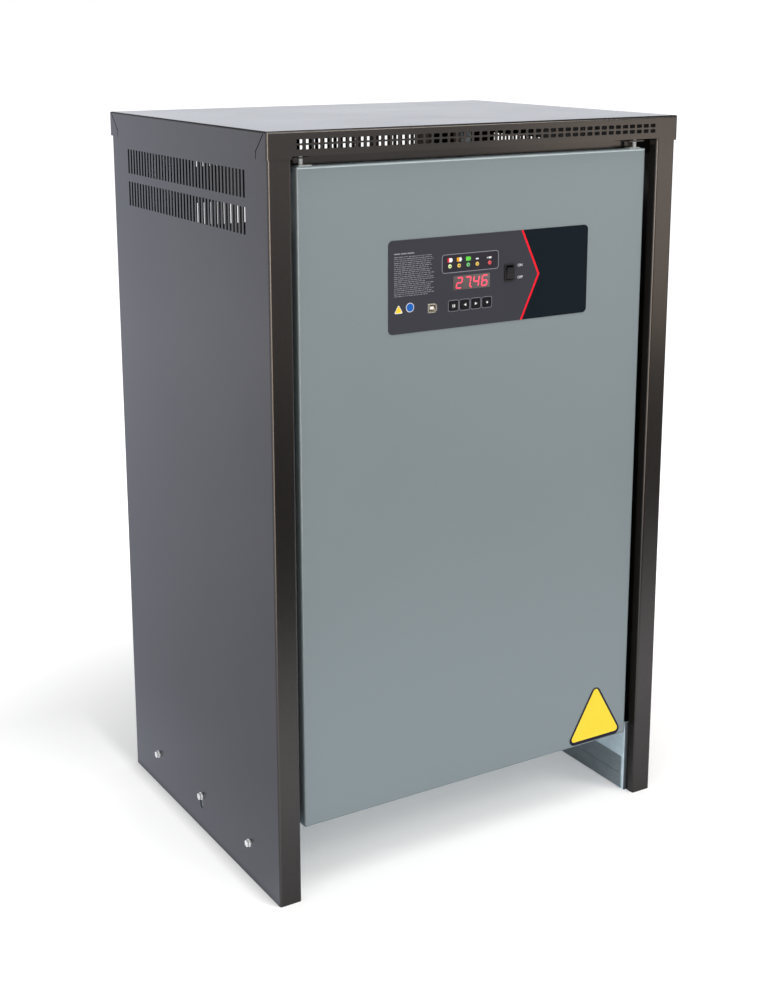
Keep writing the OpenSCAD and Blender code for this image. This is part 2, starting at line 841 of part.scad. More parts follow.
module cover_nuts() {
  top = cover_under - sheet;
  color(steel) cover_stud_places() {
    from_z(top - washer_t, top) difference() {
      circle(d = washer_ratio * small_screw_d, $fn = 48);
      circle(d = small_screw_d + 2 * hole_gap, $fn = 32);
    }
    from_z(top - washer_t - head_ratio * small_screw_d, top - washer_t) difference() {
      hexagon(hex_ratio * small_screw_d);
      circle(d = small_screw_d + 2 * hole_gap, $fn = 32);
    }
  }
}

module base_slots() {
  for (i = [0:base_slot_count - 1]) for (s = [-1, 1]) {
    x = (i - (base_slot_count - 1) / 2) * base_slot_pitch;
    if (s < 0 || abs(x) < gland_x - gland_keep)
      translate([x, s * base_slot_y]) slot(base_slot_l, base_slot_w);
  }
}

module base_frame() {
  leg = base_top - leg_clear - bend_r;
  color(zinc) difference() {
    union() {
      from_y(base_front, lip_front) translate([-leg_inner, leg_clear]) rotate(90)
        fold([leg, 2 * base_half - 2 * bend_r, leg], [-1, -1], base_sheet, bend_r);
      from_z(base_under, base_top) area([-tongue_half, tongue_front], [tongue_half, base_front + 1]);
      for (x = [0, 1]) mirror([x, 0, 0]) {
        from_x(leg_inner, base_half) area([foot_end - frame_gap, leg_clear], [base_front + 1, horn_h]);
        from_z(0, horn_h) translate([leg_inner, foot_end - frame_gap / 2]) rotate(-90)
          fold([base_sheet + frame_gap / 2, horn_w - bend_r], [1], base_sheet, bend_r);
      }
    }
    from_z(base_under - 1, base_top + 1) {
      base_slots();
      panel_screw_places() circle(d = small_screw_d + 2 * hole_gap, $fn = 32);
      translate([-gland_x, gland_y]) circle(r = gland_r(mains_bore) + hole_gap, $fn = 48);
      translate([gland_x, gland_y]) circle(r = gland_r(charge_bore) + hole_gap, $fn = 48);
      translate([0, earth_y]) circle(d = earth_d + 2 * hole_gap, $fn = 32);
    }
  }
}

module foot_channel() {
  legs = [foot_wall - bend_r, wall_x - foot_inner - 2 * bend_r, foot_outer_wall - bend_r];
  color(dark_zinc) difference() {
    from_y(foot_end, -foot_end) translate([foot_inner, foot_wall]) rotate(-90)
      fold(legs, [1, 1], foot_sheet, bend_r);
    from_y(foot_end - 1, 1 - foot_end)
      translate([foot_inner, foot_line_z]) square([2 * foot_line_d, foot_line_w], center = true);
    from_x(wall_x - foot_sheet - 1, wall_x + 1) side_screw_holes(side_screw_d + 2 * hole_gap);
  }
}

module left_foot_channel() {
  mirror([1, 0, 0]) foot_channel();
}

module right_foot_channel() {
  foot_channel();
}

module side_panel_screws() {
  color(steel) for (x = [0, 1]) mirror([x, 0, 0]) for (k = [-1:1])
    translate([half_w, k * side_screw_pitch, side_screw_z]) mirror([1, 0, 0])
      hex_screw(side_screw_d, side_screw_l);
}

module control_overlay() {
  color("#2b3036") from_y(overlay_face, panel_front) difference() {
    translate([overlay_x, overlay_z]) rounded([overlay_w, overlay_h], overlay_r);
    control_apertures();
  }
}

module display_window() {
  rim = 2 * window_rim;
  color("#33474a") {
    from_y(overlay_face, panel_back) translate(window_c) square(window_size, center = true);
    from_y(panel_back, panel_back + rim_t) translate(window_c)
      square(window_size + [rim, rim], center = true);
  }
}

module display_module() {
  rim = 4 * window_rim;
  color("#20382b") from_y(panel_back + rim_t, board_front) translate(window_c)
    square(window_size + [rim, rim], center = true);
}

// Domed status lamp on the control board
module lamp(i, tint) {
  r = lamp_d / 2;
  length = board_front - overlay_face + lamp_proud;
  dome = 0.3 * r;
  color(tint) translate([lamp_x[i], board_front, lamp_z]) rotate([90, 0, 0]) rotate_extrude($fn = 48) {
    square([1.2 * r, rim_t]);
    square([r, length - dome]);
    square([r - dome, length]);
    translate([r - dome, length - dome]) intersection() {
      circle(dome, $fn = 32);
      square(dome);
    }
  }
}

module lamp_1() {
  lamp(0, "#d9f2d0");
}

module lamp_2() {
  lamp(1, "#e8c53a");
}

module lamp_3() {
  lamp(2, "#59b560");
}

module lamp_4() {
  lamp(3, "#e8c53a");
}

module lamp_5() {
  lamp(4, "#d8343a");
}

// Switch housing with its rim in front of the overlay
module switch_bezel() {
  back = overlay_face + bezel_depth;
  inside = [body_size[0] - 2 * bezel_wall, 2 * (paddle_swing + paddle_gap)];
  color(black) difference() {
    union() {
      from_y(overlay_face - bezel_t, overlay_face) translate(bezel_c) rounded(bezel_size, rim_t);
      from_y(overlay_face, back) translate(bezel_c) square(body_size, center = true);
    }
    from_y(overlay_face - bezel_t - 1, back - 2 * bezel_wall) translate(bezel_c)
      square(inside, center = true);
    translate([bezel_c[0], pivot_y, bezel_c[1]]) rotate([0, 90, 0])
      cylinder(r = pivot_d / 2 + pivot_gap, h = body_size[0] + 2, center = true, $fn = 48);
  }
}

// Rocking paddle, drawn about its pivot with its front towards -Y
module paddle_profile() {
  tip = -paddle_front - paddle_rise;
  back = pivot_d;
  polygon([
    [-paddle_front, 0], [tip, paddle_half], [tip / 2, paddle_half], [back, 2 * back],
    [back, -2 * back], [tip / 2, -paddle_half], [tip, -paddle_half]
  ]);
}

module switch_paddle() {
  reach = body_size[0] / 2 - paddle_gap;
  color("#2a2c30") translate([bezel_c[0], pivot_y, bezel_c[1]]) rotate([paddle_tilt, 0, 0]) {
    from_x(-paddle_w / 2, paddle_w / 2) paddle_profile();
    rotate([0, 90, 0]) cylinder(d = pivot_d, h = 2 * reach, center = true, $fn = 48);
  }
}

module key_cap(i) {
  rim = 2 * key_rim;
  stem_end = board_front - key_contact_h - key_travel - key_rest_gap;
  color("#30343a") translate([key_x[i], 0, key_z]) {
    from_y(overlay_face - key_proud, panel_back) rounded(key_size, rim_t);
    from_y(panel_back, panel_back + rim_t) square(key_size + [rim, rim], center = true);
    from_y(panel_back + rim_t, stem_end) circle(d = key_contact_w / 2, $fn = 32);
  }
}

module key_1() {
  key_cap(0);
}

module key_2() {
  key_cap(1);
}

module key_3() {
  key_cap(2);
}

module key_4() {
  key_cap(3);
}

module key_contacts() {
  color(black) for (x = key_x) translate([x, 0, key_z]) {
    from_y(board_front - key_contact_h + 1, board_front) square(key_contact_w, center = true);
    from_y(board_front - key_contact_h, board_front) circle(d = key_contact_w / 2, $fn = 32);
  }
}

// Outline of the port, with its two right corners cut
module port_outline(size) {
  x = size[0] / 2;
  y = size[1] / 2;
  cut = port_cut * size[0];
  polygon([[-x, -y], [x - cut, -y], [x, cut - y], [x, y - cut], [x - cut, y], [-x, y]]);
}

module data_port_shell() {
  mouth = port_size - 2 * [port_wall, port_wall];
  color(steel) translate([port_c[0], 0, port_c[1]]) difference() {
    from_y(overlay_face - port_proud, board_front) port_outline(port_size);
    from_y(overlay_face - port_proud - 1, board_front - rim_t) port_outline(mouth);
  }
}

module data_port_contacts() {
  color("#e6e6e2") translate([port_c[0], 0, port_c[1]])
    from_y(overlay_face + rim_t, board_front - rim_t) square([tongue_w, tongue_h], center = true);
}

module spacer_places() {
  inset = spacer_d / 2 + rear_gap;
  for (x = [board_x0 + inset, board_x1 - inset]) for (z = [board_z0 + inset, board_z1 - inset])
    translate([x, z]) children();
}

module control_board() {
  color("#2f5a3c") from_y(board_front, board_back) difference() {
    area([board_x0, board_z0], [board_x1, board_z1]);
    spacer_places() circle(d = stud_d + 2 * hole_gap, $fn = 32);
  }
}

module board_spacers() {
  color(steel) {
    from_y(panel_back, board_front) spacer_places() hexagon(spacer_d);
    from_y(board_front - 1, board_back + stud_d) spacer_places() circle(d = stud_d, $fn = 32);
    from_y(board_back, board_back + head_ratio * stud_d) spacer_places() hexagon(hex_ratio * stud_d);
  }
}

module transformer_core() {
  color("#4a4d52") from_y(-core_stack / 2, core_stack / 2) difference() {
    area([-core_w / 2, core_bottom], [core_w / 2, core_top]);
    for (s = [-1, 1]) translate([s * limb_pitch / 2, core_bottom + core_h / 2])
      square([gap_w, core_h - 2 * limb_w], center = true);
    for (s = [-1, 1]) for (z = clamp_bolt_z)
      translate([s * clamp_bolt_x, z]) circle(d = clamp_bolt_d + 2 * hole_gap, $fn = 32);
  }
}

module coil(x) {
  inner = [limb_w + 2 * coil_gap, core_stack + 2 * coil_gap];
  outer = inner + [2 * coil_t, 2 * coil_t];
  color("#a8683a") from_z(coil_bottom, coil_bottom + coil_h) translate([x, 0]) difference() {
    rounded(outer, coil_t);
    rounded(inner, coil_gap);
  }
}

module left_coil() {
  coil(-limb_pitch);
}

module middle_coil() {
  coil(0);
}

module right_coil() {
  coil(limb_pitch);
}

// Angle along the core with its upright leg against the yoke
module clamp_angle() {
  difference() {
    from_x(-clamp_half, clamp_half) translate([clamp_y + clamp_foot, 0]) mirror([1, 0])
      fold([clamp_foot - clamp_r, clamp_h - clamp_r], [1], clamp_t, clamp_r);
    children();
  }
}

module clamp_holes(z) {
  for (s = [-1, 1]) translate([s * clamp_bolt_x, clamp_y - 1, z]) rotate([-90, 0, 0])
    cylinder(d = clamp_bolt_d + 2 * hole_gap, h = clamp_t + 2, $fn = 32);
}

module lower_core_clamps() {
  color(zinc) for (y = [0, 1]) mirror([0, y, 0]) translate([0, 0, base_top])
    clamp_angle() clamp_holes(clamp_bolt_z[0] - base_top);
}

module upper_core_clamps() {
  color(zinc) for (y = [0, 1]) mirror([0, y, 0]) translate([0, 0, clamp_top]) mirror([0, 0, 1])
    clamp_angle() clamp_holes(clamp_top - clamp_bolt_z[1]);
}

module clamp_bolts() {
  grip = core_stack / 2 + clamp_t;
  color(steel) for (s = [-1, 1]) for (z = clamp_bolt_z) translate([s * clamp_bolt_x, 0, z]) {
    from_y(-grip - head_ratio * clamp_bolt_d, -grip) hexagon(hex_ratio * clamp_bolt_d);
    from_y(-grip - 1, grip + clamp_bolt_d) circle(d = clamp_bolt_d, $fn = 32);
    from_y(grip, grip + head_ratio * clamp_bolt_d) hexagon(hex_ratio * clamp_bolt_d);
  }
}

module upright() {
  color(zinc) from_z(base_top, rear_rail_bottom) translate([upright_x, upright_back]) rotate(-90)
    fold([upright_w - bend_r, upright_w - bend_r], [-1], base_sheet, bend_r);
}

module left_upright() {
  mirror([1, 0, 0]) upright();
}

module right_upright() {
  upright();
}

module component_plate() {
  color(zinc) from_y(plate_front, plate_y) difference() {
    area([-plate_half, plate_z0], [plate_half, plate_z1]);
    translate([0, sink_z]) square([sink_w - sink_rim, sink_h - sink_rim], center = true);
  }
}

module heat_sink() {
  span = sink_w - 2 * sink_rim - fin_t;
  color("#9aa0a6") {
    from_y(sink_front, plate_front) translate([0, sink_z]) square([sink_w, sink_h], center = true);
    for (i = [0:fin_count - 1]) translate([span * (i / (fin_count - 1) - 0.5), 0, 0])
      from_y(plate_front - 1, plate_front + fin_l) translate([0, sink_z])
        square([fin_t, sink_h - 2 * sink_rim], center = true);
  }
}

module rectifier_modules() {
  color(black) for (i = [-1:1]) translate([i * module_pitch, 0, sink_z]) {
    from_y(sink_front - module_foot_t, sink_front) square([module_w, module_h], center = true);
    from_y(module_front, sink_front - module_foot_t)
      square([module_w, module_h] - module_step, center = true);
    for (k = [-1:1]) from_y(module_front - module_stud_h, module_front)
      translate([0, k * module_terminal_pitch]) circle(d = module_stud_d, $fn = 32);
  }
}

module busbars() {
  reach = module_pitch + module_w / 2 + busbar_reach;
  back = module_front - module_stud_h;
  color("#b8763f") for (k = [-1, 1]) from_y(back - busbar_t, back)
    translate([k * busbar_reach / 2, sink_z + k * module_terminal_pitch]) difference() {
      square([2 * reach, busbar_w], center = true);
      translate([k * (reach - busbar_w / 2), 0]) circle(d = busbar_hole_d, $fn = 32);
    }
}

// Devices stand on the component plate's front, in one row
module contactor() {
  w = contactor_w;
  h = contactor_h;
  foot = 0.42 * contactor_d;
  step = 0.18 * h;
  color("#3a3d42") translate([row_x0, plate_front, row_z - h / 2]) difference() {
    rotate([90, 0, 90]) mirror([1, 0]) linear_extrude(w) polygon([
      [0, 0], [foot, 0], [foot, step], [contactor_d, step],
      [contactor_d, h - step], [foot, h - step], [foot, h], [0, h]
    ]);
    for (i = [0:3]) for (z = [step / 2, h - step / 2])
      translate([(i + 0.5) * w / 4, -foot - 1, z]) rotate([-90, 0, 0])
        cylinder(d = step / 2, h = step, $fn = 32);
  }
}

module fuse_places() {
  for (i = [0:2]) translate([fuse_x0 + (i + 0.5) * fuse_pitch, fuse_y, row_z]) children();
}

module fuse_base() {
  color("#4a463f") difference() {
    from_y(fuse_y, plate_front)
      area([fuse_x0, row_z - fuse_base_h / 2], [fuse_x0 + fuse_base_w, row_z + fuse_base_h / 2]);
    fuse_places() cylinder(d = fuse_d + 2 * hole_gap, h = fuse_l + 1, center = true, $fn = 48);
  }
}

module fuse_links() {
  color("#ded9cc") fuse_places() {
    cylinder(d = 0.9 * fuse_d, h = fuse_l, center = true, $fn = 48);
    for (s = [-1, 1]) translate([0, 0, s * (fuse_l - fuse_cap) / 2])
      cylinder(d = fuse_d, h = fuse_cap, center = true, $fn = 48);
  }
}

module mains_terminals() {
  w = terminal_w;
  h = terminal_h;
  d = terminal_d;
  color("#8d8a80") for (i = [0:terminal_count - 1])
    translate([terminal_x0 + i * w, plate_front, row_z - h / 2]) difference() {
      rotate([90, 0, 90]) mirror([1, 0]) linear_extrude(w - 4 * hole_gap)
        polygon([[0, 0.1 * h], [0.5 * d, 0], [d, 0.25 * h], [d, 0.75 * h], [0.5 * d, h], [0, 0.9 * h]]);
      for (z = [0.35, 0.65]) translate([w / 2, -d - 1, z * h]) rotate([-90, 0, 0])
        cylinder(d = 0.45 * w, h = 0.2 * d, $fn = 32);
    }
}

// Cable gland through the base, with a domed cap below and a thread above
module gland(bore) {
  r = gland_r(bore);
  color(black) difference() {
    union() {
      translate([0, 0, base_under - gland_rim]) linear_extrude(gland_rim) hexagon(2 * r + gland_rim);
      translate([0, 0, base_under - gland_cap]) rotate_extrude($fn = 64) {
        square([r, gland_cap]);
        translate([0, gland_edge]) square([r + gland_lip, gland_cap - gland_rim]);
      }
      translate([0, 0, base_under - 1]) cylinder(r = r, h = base_sheet + gland_thread + 1, $fn = 64);
    }
    translate([0, 0, base_under - gland_cap - 1])
      cylinder(d = bore, h = gland_cap + base_sheet + gland_thread + 2, $fn = 64);
  }
}

module gland_nut(bore) {
  r = gland_r(bore);
  color("#2c2d30") translate([0, 0, base_top]) linear_extrude(gland_nut_h) difference() {
    hexagon(2 * r + gland_rim);
    circle(r = r + hole_gap, $fn = 64);
  }
}

module mains_gland() {
  translate([-gland_x, gland_y, 0]) gland(mains_bore);
}

module mains_gland_nut() {
  translate([-gland_x, gland_y, 0]) gland_nut(mains_bore);
}

module charge_gland() {
  translate([gland_x, gland_y, 0]) gland(charge_bore);
}

module charge_gland_nut() {
  translate([gland_x, gland_y, 0]) gland_nut(charge_bore);
}

module earth_stud() {
  color(steel) translate([0, earth_y, 0]) {
    translate([0, 0, base_under - head_ratio * earth_d]) linear_extrude(head_ratio * earth_d)
      hexagon(hex_ratio * earth_d);
    translate([0, 0, base_under - 1]) cylinder(d = earth_d, h = earth_l, $fn = 32);
    translate([0, 0, base_top]) linear_extrude(earth_nut) hexagon(hex_ratio * earth_d);
  }
}

base_frame();
left_foot_channel();
right_foot_channel();
left_side_panel();
right_side_panel();
top_cover();
front_panel();
rear_panel();
front_cross_rail();
rear_cross_rail();
cover_brackets();
front_panel_pins();
front_panel_screws();
rear_panel_screws();
side_panel_screws();
cover_nuts();
control_overlay();
display_window();
display_module();
lamp_1();
lamp_2();
lamp_3();
lamp_4();
lamp_5();
switch_bezel();
switch_paddle();
key_1();
key_2();
key_3();
key_4();
key_contacts();
data_port_shell();
data_port_contacts();
control_board();
board_spacers();
transformer_core();
left_coil();
middle_coil();
right_coil();
lower_core_clamps();
upper_core_clamps();
clamp_bolts();
left_upright();
right_upright();
component_plate();
heat_sink();
rectifier_modules();
busbars();
contactor();
fuse_base();
fuse_links();
mains_terminals();
mains_gland();
mains_gland_nut();
charge_gland();
charge_gland_nut();
earth_stud();
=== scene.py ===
import json
import math
import random

import bpy
from mathutils import Matrix, Vector


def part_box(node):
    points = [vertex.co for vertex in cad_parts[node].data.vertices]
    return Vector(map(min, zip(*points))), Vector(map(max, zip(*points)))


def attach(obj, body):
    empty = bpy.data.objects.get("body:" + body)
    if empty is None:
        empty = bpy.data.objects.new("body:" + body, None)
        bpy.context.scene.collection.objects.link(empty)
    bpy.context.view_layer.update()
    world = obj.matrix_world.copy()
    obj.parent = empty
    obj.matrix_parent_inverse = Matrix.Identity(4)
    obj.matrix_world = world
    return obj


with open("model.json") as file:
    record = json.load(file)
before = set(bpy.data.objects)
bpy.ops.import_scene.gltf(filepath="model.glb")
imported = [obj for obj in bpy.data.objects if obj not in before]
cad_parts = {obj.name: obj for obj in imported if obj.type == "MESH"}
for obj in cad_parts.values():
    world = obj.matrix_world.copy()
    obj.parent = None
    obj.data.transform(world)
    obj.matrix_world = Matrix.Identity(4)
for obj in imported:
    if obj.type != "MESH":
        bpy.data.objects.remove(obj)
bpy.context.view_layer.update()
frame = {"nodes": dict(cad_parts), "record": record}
nodes = frame["nodes"]
mm = 0.001
print("frame loaded:", len(nodes), "nodes")


class Wire:  # a shader socket that works in sums like a number
    def __init__(self, graph, socket):
        self.graph = graph
        self.socket = socket

    def out(self, key):  # another output of the same node
        return Wire(self.graph, self.socket.node.outputs[key])

    def maths(self, operation, first, second):
        return self.graph.add("ShaderNodeMath", {"operation": operation}, {0: first, 1: second})

    def __add__(self, other):
        return self.maths("ADD", self, other)

    def __radd__(self, other):
        return self.maths("ADD", other, self)

    def __sub__(self, other):
        return self.maths("SUBTRACT", self, other)

    def __rsub__(self, other):
        return self.maths("SUBTRACT", other, self)

    def __mul__(self, other):
        return self.maths("MULTIPLY", self, other)

    def __rmul__(self, other):
        return self.maths("MULTIPLY", other, self)

    def __truediv__(self, other):
        return self.maths("DIVIDE", self, other)

    def __pow__(self, other):
        return self.maths("POWER", self, other)

    def __gt__(self, other):
        return self.maths("GREATER_THAN", self, other)

    def __lt__(self, other):
        return self.maths("LESS_THAN", self, other)

    def __abs__(self):
        return self.maths("ABSOLUTE", self, 0.0)


class Graph:  # the nodes of one material, or of the world
    def __init__(self, owner):
        owner.use_nodes = True
        self.owner = owner
        self.tree = owner.node_tree
        self.tree.nodes.clear()

    def add(self, kind, settings, sockets, out=0):
        node = self.tree.nodes.new(kind)
        for key, value in settings.items():
            setattr(node, key, value)
        for key, value in sockets.items():
            if isinstance(value, Wire):
                self.tree.links.new(value.socket, node.inputs[key])
            else:
                node.inputs[key].default_value = value
        return Wire(self, node.outputs[out]) if len(node.outputs) else None

    def place(self):  # where the shaded point is, in the frame's metres
        return self.add("ShaderNodeTexCoord", {}, {}).out("Object")

    def normal(self):  # which way the surface faces there
        return self.add("ShaderNodeNewGeometry", {}, {}).out("Normal")

    def rays(self):  # whether the camera sees the point itself, and whether it sees it by way of a surface
        path = self.add("ShaderNodeLightPath", {}, {})
        return path.out("Is Camera Ray"), path.out("Is Glossy Ray") + path.out("Is Transmission Ray")

    def axes(self, vector):
        split = self.add("ShaderNodeSeparateXYZ", {}, {0: vector})
        return split, split.out(1), split.out(2)

    def stretch(self, vector, scale):
        return self.add("ShaderNodeVectorMath", {"operation": "MULTIPLY"}, {0: vector, 1: scale})

    def noise(self, vector, size, detail=2.0):  # size is that of one grain, in metres
        return self.add("ShaderNodeTexNoise", {}, {"Vector": vector, "Scale": 1 / size, "Detail": detail})

    def between(self, value, start, end=(0.0, 1.0)):  # goes from level to level over a value's range
        return self.add("ShaderNodeMapRange", {}, {0: value, 1: start[0], 2: start[1], 3: end[0], 4: end[1]})

    def blend(self, share, first, second):
        return self.add("ShaderNodeMix", {"data_type": "RGBA"}, {0: share, 6: first, 7: second}, out=2)

    def bump(self, height, depth):
        return self.add("ShaderNodeBump", {}, {"Height": height, "Distance": depth, "Strength": 1.0})

    def surface(self, sockets):
        shader = self.add("ShaderNodeBsdfPrincipled", {}, sockets)
        self.add("ShaderNodeOutputMaterial", {}, {"Surface": shader})
        return self.owner


fineDetail = 3.0  # of noise on grainy and worn surfaces


def newGraph(name):
    return Graph(bpy.data.materials.new(name))


def colour(red, green, blue):
    return (red, green, blue, 1.0)


def tinted(tone, factor):
    return colour(*[min(1.0, part * factor) for part in tone])


def shades(tone, spread):  # a darker and a lighter form of a colour
    return tinted(tone, 1 - spread), tinted(tone, 1 + spread)


def swing(value, amount):  # a noise that goes both ways from zero
    return (value - 0.5) * amount


# Painted sheet

cabinetPaint = {
    "colour": (0.046, 0.041, 0.038),
    "flake": 0.75,  # share of bronze flakes in the dark coat
    "spread": 0.55,  # how far the grain lightens and darkens
    "grain": 1.5 * mm,
    "depth": 0.008 * mm,
    "roughness": 0.2,
    "gloss": 0.5,
    "edge": (0.90, 0.92, 1.0),  # tint of what it mirrors at a flat angle
}
panelPaint = {
    "colour": (0.202, 0.242, 0.260),
    "flake": 0.2,
    "spread": 0.06,
    "grain": 0.7 * mm,
    "depth": 0.008 * mm,
    "roughness": 0.42,
    "gloss": 0.35,
    "edge": (1.0, 1.0, 1.0),
    "bend": 2.3,  # painted highlight: how much lighter the coat is drawn on bends that face upward
}
coating = {  # what both paints share
    "cloud": 0.18,  # size in metres of lighter and darker places
    "cloudShare": 0.3,  # their share in the tone
    "sheen": (0.08, 0.06),  # how far grain and clouds change the roughness
    "bendReach": (0.1, 0.4),  # upward part of the normal where the painted highlight on bends starts and is full
}


def powderCoat(name, look):
    paint = newGraph(name)
    place = paint.place()
    grain = paint.noise(place, look["grain"], fineDetail)
    cloud = paint.noise(place, coating["cloud"])
    share = grain * (1 - coating["cloudShare"]) + cloud * coating["cloudShare"]
    coat = paint.blend(share, *shades(look["colour"], look["spread"]))
    # painted highlight: a lighter coat where a bend faces upward
    if "bend" in look:
        upward = paint.axes(paint.normal())[2]
        bend = paint.between(upward, coating["bendReach"])
        coat = paint.blend(bend, coat, tinted(look["colour"], look["bend"]))
    grainSheen, cloudSheen = coating["sheen"]
    return paint.surface({
        "Base Color": coat,
        "Metallic": look["flake"],
        "Roughness": look["roughness"] + swing(grain, grainSheen) + swing(cloud, cloudSheen),
        "Specular IOR Level": look["gloss"],
        "Specular Tint": colour(*look["edge"]),
        "Normal": paint.bump(grain, look["depth"]),
    })


# Zinc-coated sheet and plated pieces

zincSheet = {
    "colour": (0.68, 0.81, 0.88), "spread": 0.12, "flake": 9 * mm, "roughness": 0.42, "metal": 0.3,
    "hornTone": 0.11,  # painted shade: how dark the front faces of the base's two horns are drawn
    "hornReach": 0.25,  # metres from the middle to where they start
    "hornFacing": -0.6,  # y of the normal below which a face is at the front
}
dullZinc = {
    "colour": (0.225, 0.262, 0.280), "spread": 0.22, "flake": 6 * mm, "roughness": 0.5, "metal": 0.4,
}
platedSteel = {
    "colour": (0.93, 0.94, 0.96), "spread": 0.06, "flake": 1.5 * mm, "roughness": 0.28, "metal": 0.4,
}
# painted shade: a darker, duller copy of the plated steel, for the pins under the cover's lip
shadedPinSteel = {
    "colour": (0.62, 0.66, 0.66), "spread": 0.15, "flake": 1.5 * mm, "roughness": 0.5, "metal": 0.1,
}
portShell = {
    "colour": (0.62, 0.60, 0.55), "spread": 0.12, "flake": 1.2 * mm, "roughness": 0.28, "metal": 1.0,
}
sinkMetal = {
    "colour": (0.45, 0.47, 0.49), "spread": 0.10, "flake": 2 * mm, "roughness": 0.38, "metal": 1.0,
}
copperBar = {
    "colour": (0.60, 0.31, 0.17), "spread": 0.20, "flake": 5 * mm, "roughness": 0.32, "metal": 1.0,
}
plating = {  # what all metals share
    "streak": 1.2 * mm, "drawn": (1.0, 1.0, 0.06),  # width of the streaks, which are drawn out upright
    "wear": 0.05,  # metres
    "shares": (0.4, 0.35, 0.25),  # flakes, streaks and wear in the tone
    "sheen": 0.25, "depth": 0.01 * mm,
}


def coatedMetal(name, look):
    metal = newGraph(name)
    place = metal.place()
    cells = metal.add("ShaderNodeTexVoronoi", {}, {"Vector": place, "Scale": 1 / look["flake"]})
    flake = metal.axes(cells.out("Color"))[0]
    streak = metal.noise(metal.stretch(place, plating["drawn"]), plating["streak"])
    wear = metal.noise(place, plating["wear"], fineDetail)
    flakeShare, streakShare, wearShare = plating["shares"]
    share = flake * flakeShare + streak * streakShare + wear * wearShare
    coat = metal.blend(share, *shades(look["colour"], look["spread"]))
    # painted shade on the faces of the base's horns that look to the front
    if "hornTone" in look:
        ahead = metal.axes(metal.normal())[1] < look["hornFacing"]
        shadedHorn = ahead * (abs(metal.axes(place)[0]) > look["hornReach"])
        coat = metal.blend(shadedHorn, coat, tinted(look["colour"], look["hornTone"]))
    return metal.surface({
        "Base Color": coat,
        "Metallic": look["metal"],
        "Roughness": look["roughness"] + swing(share, plating["sheen"]),
        "Normal": metal.bump(streak, plating["depth"]),
    })


# Moulded and wound pieces

switchBlack = {
    "colour": (0.008, 0.008, 0.009), "spread": 0.25, "grain": 0.5 * mm, "roughness": 0.32, "gloss": 0.3,
}
keyFilm = {
    "colour": (0.0085, 0.008, 0.010), "spread": 0.20, "grain": 0.5 * mm, "roughness": 0.48, "gloss": 0.1,
}
portBlock = {"colour": (0.78, 0.78, 0.74), "spread": 0.05, "grain": 0.6 * mm, "roughness": 0.45}
boardMask = {"colour": (0.025, 0.095, 0.045), "spread": 0.30, "grain": 2.5 * mm, "roughness": 0.35}
blackNylon = {"colour": (0.016, 0.017, 0.019), "spread": 0.25, "grain": 0.9 * mm, "roughness": 0.5}
fuseHolder = {"colour": (0.070, 0.062, 0.050), "spread": 0.15, "grain": 0.8 * mm, "roughness": 0.5}
fuseBody = {"colour": (0.72, 0.68, 0.58), "spread": 0.08, "grain": 1.5 * mm, "roughness": 0.25}
terminalGrey = {"colour": (0.27, 0.255, 0.22), "spread": 0.10, "grain": 0.7 * mm, "roughness": 0.5}
moulding = {  # what all plastics share
    "cloud": 0.03, "cloudShare": 0.4,  # as in the paints
    "sheen": 0.14, "gloss": 0.5, "depth": 0.02 * mm,
}


def mouldedPlastic(name, look):
    plastic = newGraph(name)
    place = plastic.place()
    grain = plastic.noise(place, look["grain"], fineDetail)
    cloud = plastic.noise(place, moulding["cloud"])
    share = grain * (1 - moulding["cloudShare"]) + cloud * moulding["cloudShare"]
    return plastic.surface({
        "Base Color": plastic.blend(share, *shades(look["colour"], look["spread"])),
        "Roughness": look["roughness"] + swing(grain, moulding["sheen"]),
        "Specular IOR Level": look.get("gloss", moulding["gloss"]),
        "Normal": plastic.bump(grain, moulding["depth"]),
    })


coreSheets = {
    "colour": (0.062, 0.066, 0.074), "spread": 0.5, "pitch": 2.0 * mm, "axis": 1, "roughness": 0.45,
}
coilTurns = {
    "colour": (0.36, 0.15, 0.055), "spread": 0.35, "pitch": 4.0 * mm, "axis": 2, "roughness": 0.35,
}
varnish = {  # what core and coils share
    "stain": 0.04, "stainShare": 0.5,  # size in metres, and share in the tone
    "sheen": 0.2, "depth": 0.3 * mm,
}


def layered(name, look):  # sheets of a core, or turns of a coil
    stack = newGraph(name)
    place = stack.place()
    along = stack.axes(place)[look["axis"]]
    half = look["pitch"] / 2
    ridge = stack.add("ShaderNodeMath", {"operation": "PINGPONG"}, {0: along, 1: half}) / half
    stain = stack.noise(place, varnish["stain"], fineDetail)
    share = ridge * (1 - varnish["stainShare"]) + stain * varnish["stainShare"]
    return stack.surface({
        "Base Color": stack.blend(share, *shades(look["colour"], look["spread"])),
        "Roughness": look["roughness"] + swing(stain, varnish["sheen"]),
        "Normal": stack.bump(ridge, varnish["depth"]),
    })


# Overlay film: two fields that meet along a chevron

overlayFilm = {
    "field": (0.040, 0.040, 0.051),
    "darkField": (0.0036, 0.0084, 0.0132),
    "apex": 77.3 * mm,  # distance of the chevron's point from the film's right edge
    "slope": 0.468,
    "grain": 0.5 * mm,
    "speckle": (0.05, 1.5),  # share of the lighter grains, and how light they are
    "roughness": 0.55,
    "sheen": 0.1,
    "gloss": 0.06,
    "depth": 0.006 * mm,
}
filmLow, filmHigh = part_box("control_overlay")
chevronApex = Vector((filmHigh.x - overlayFilm["apex"], filmLow.y, (filmLow.z + filmHigh.z) / 2))


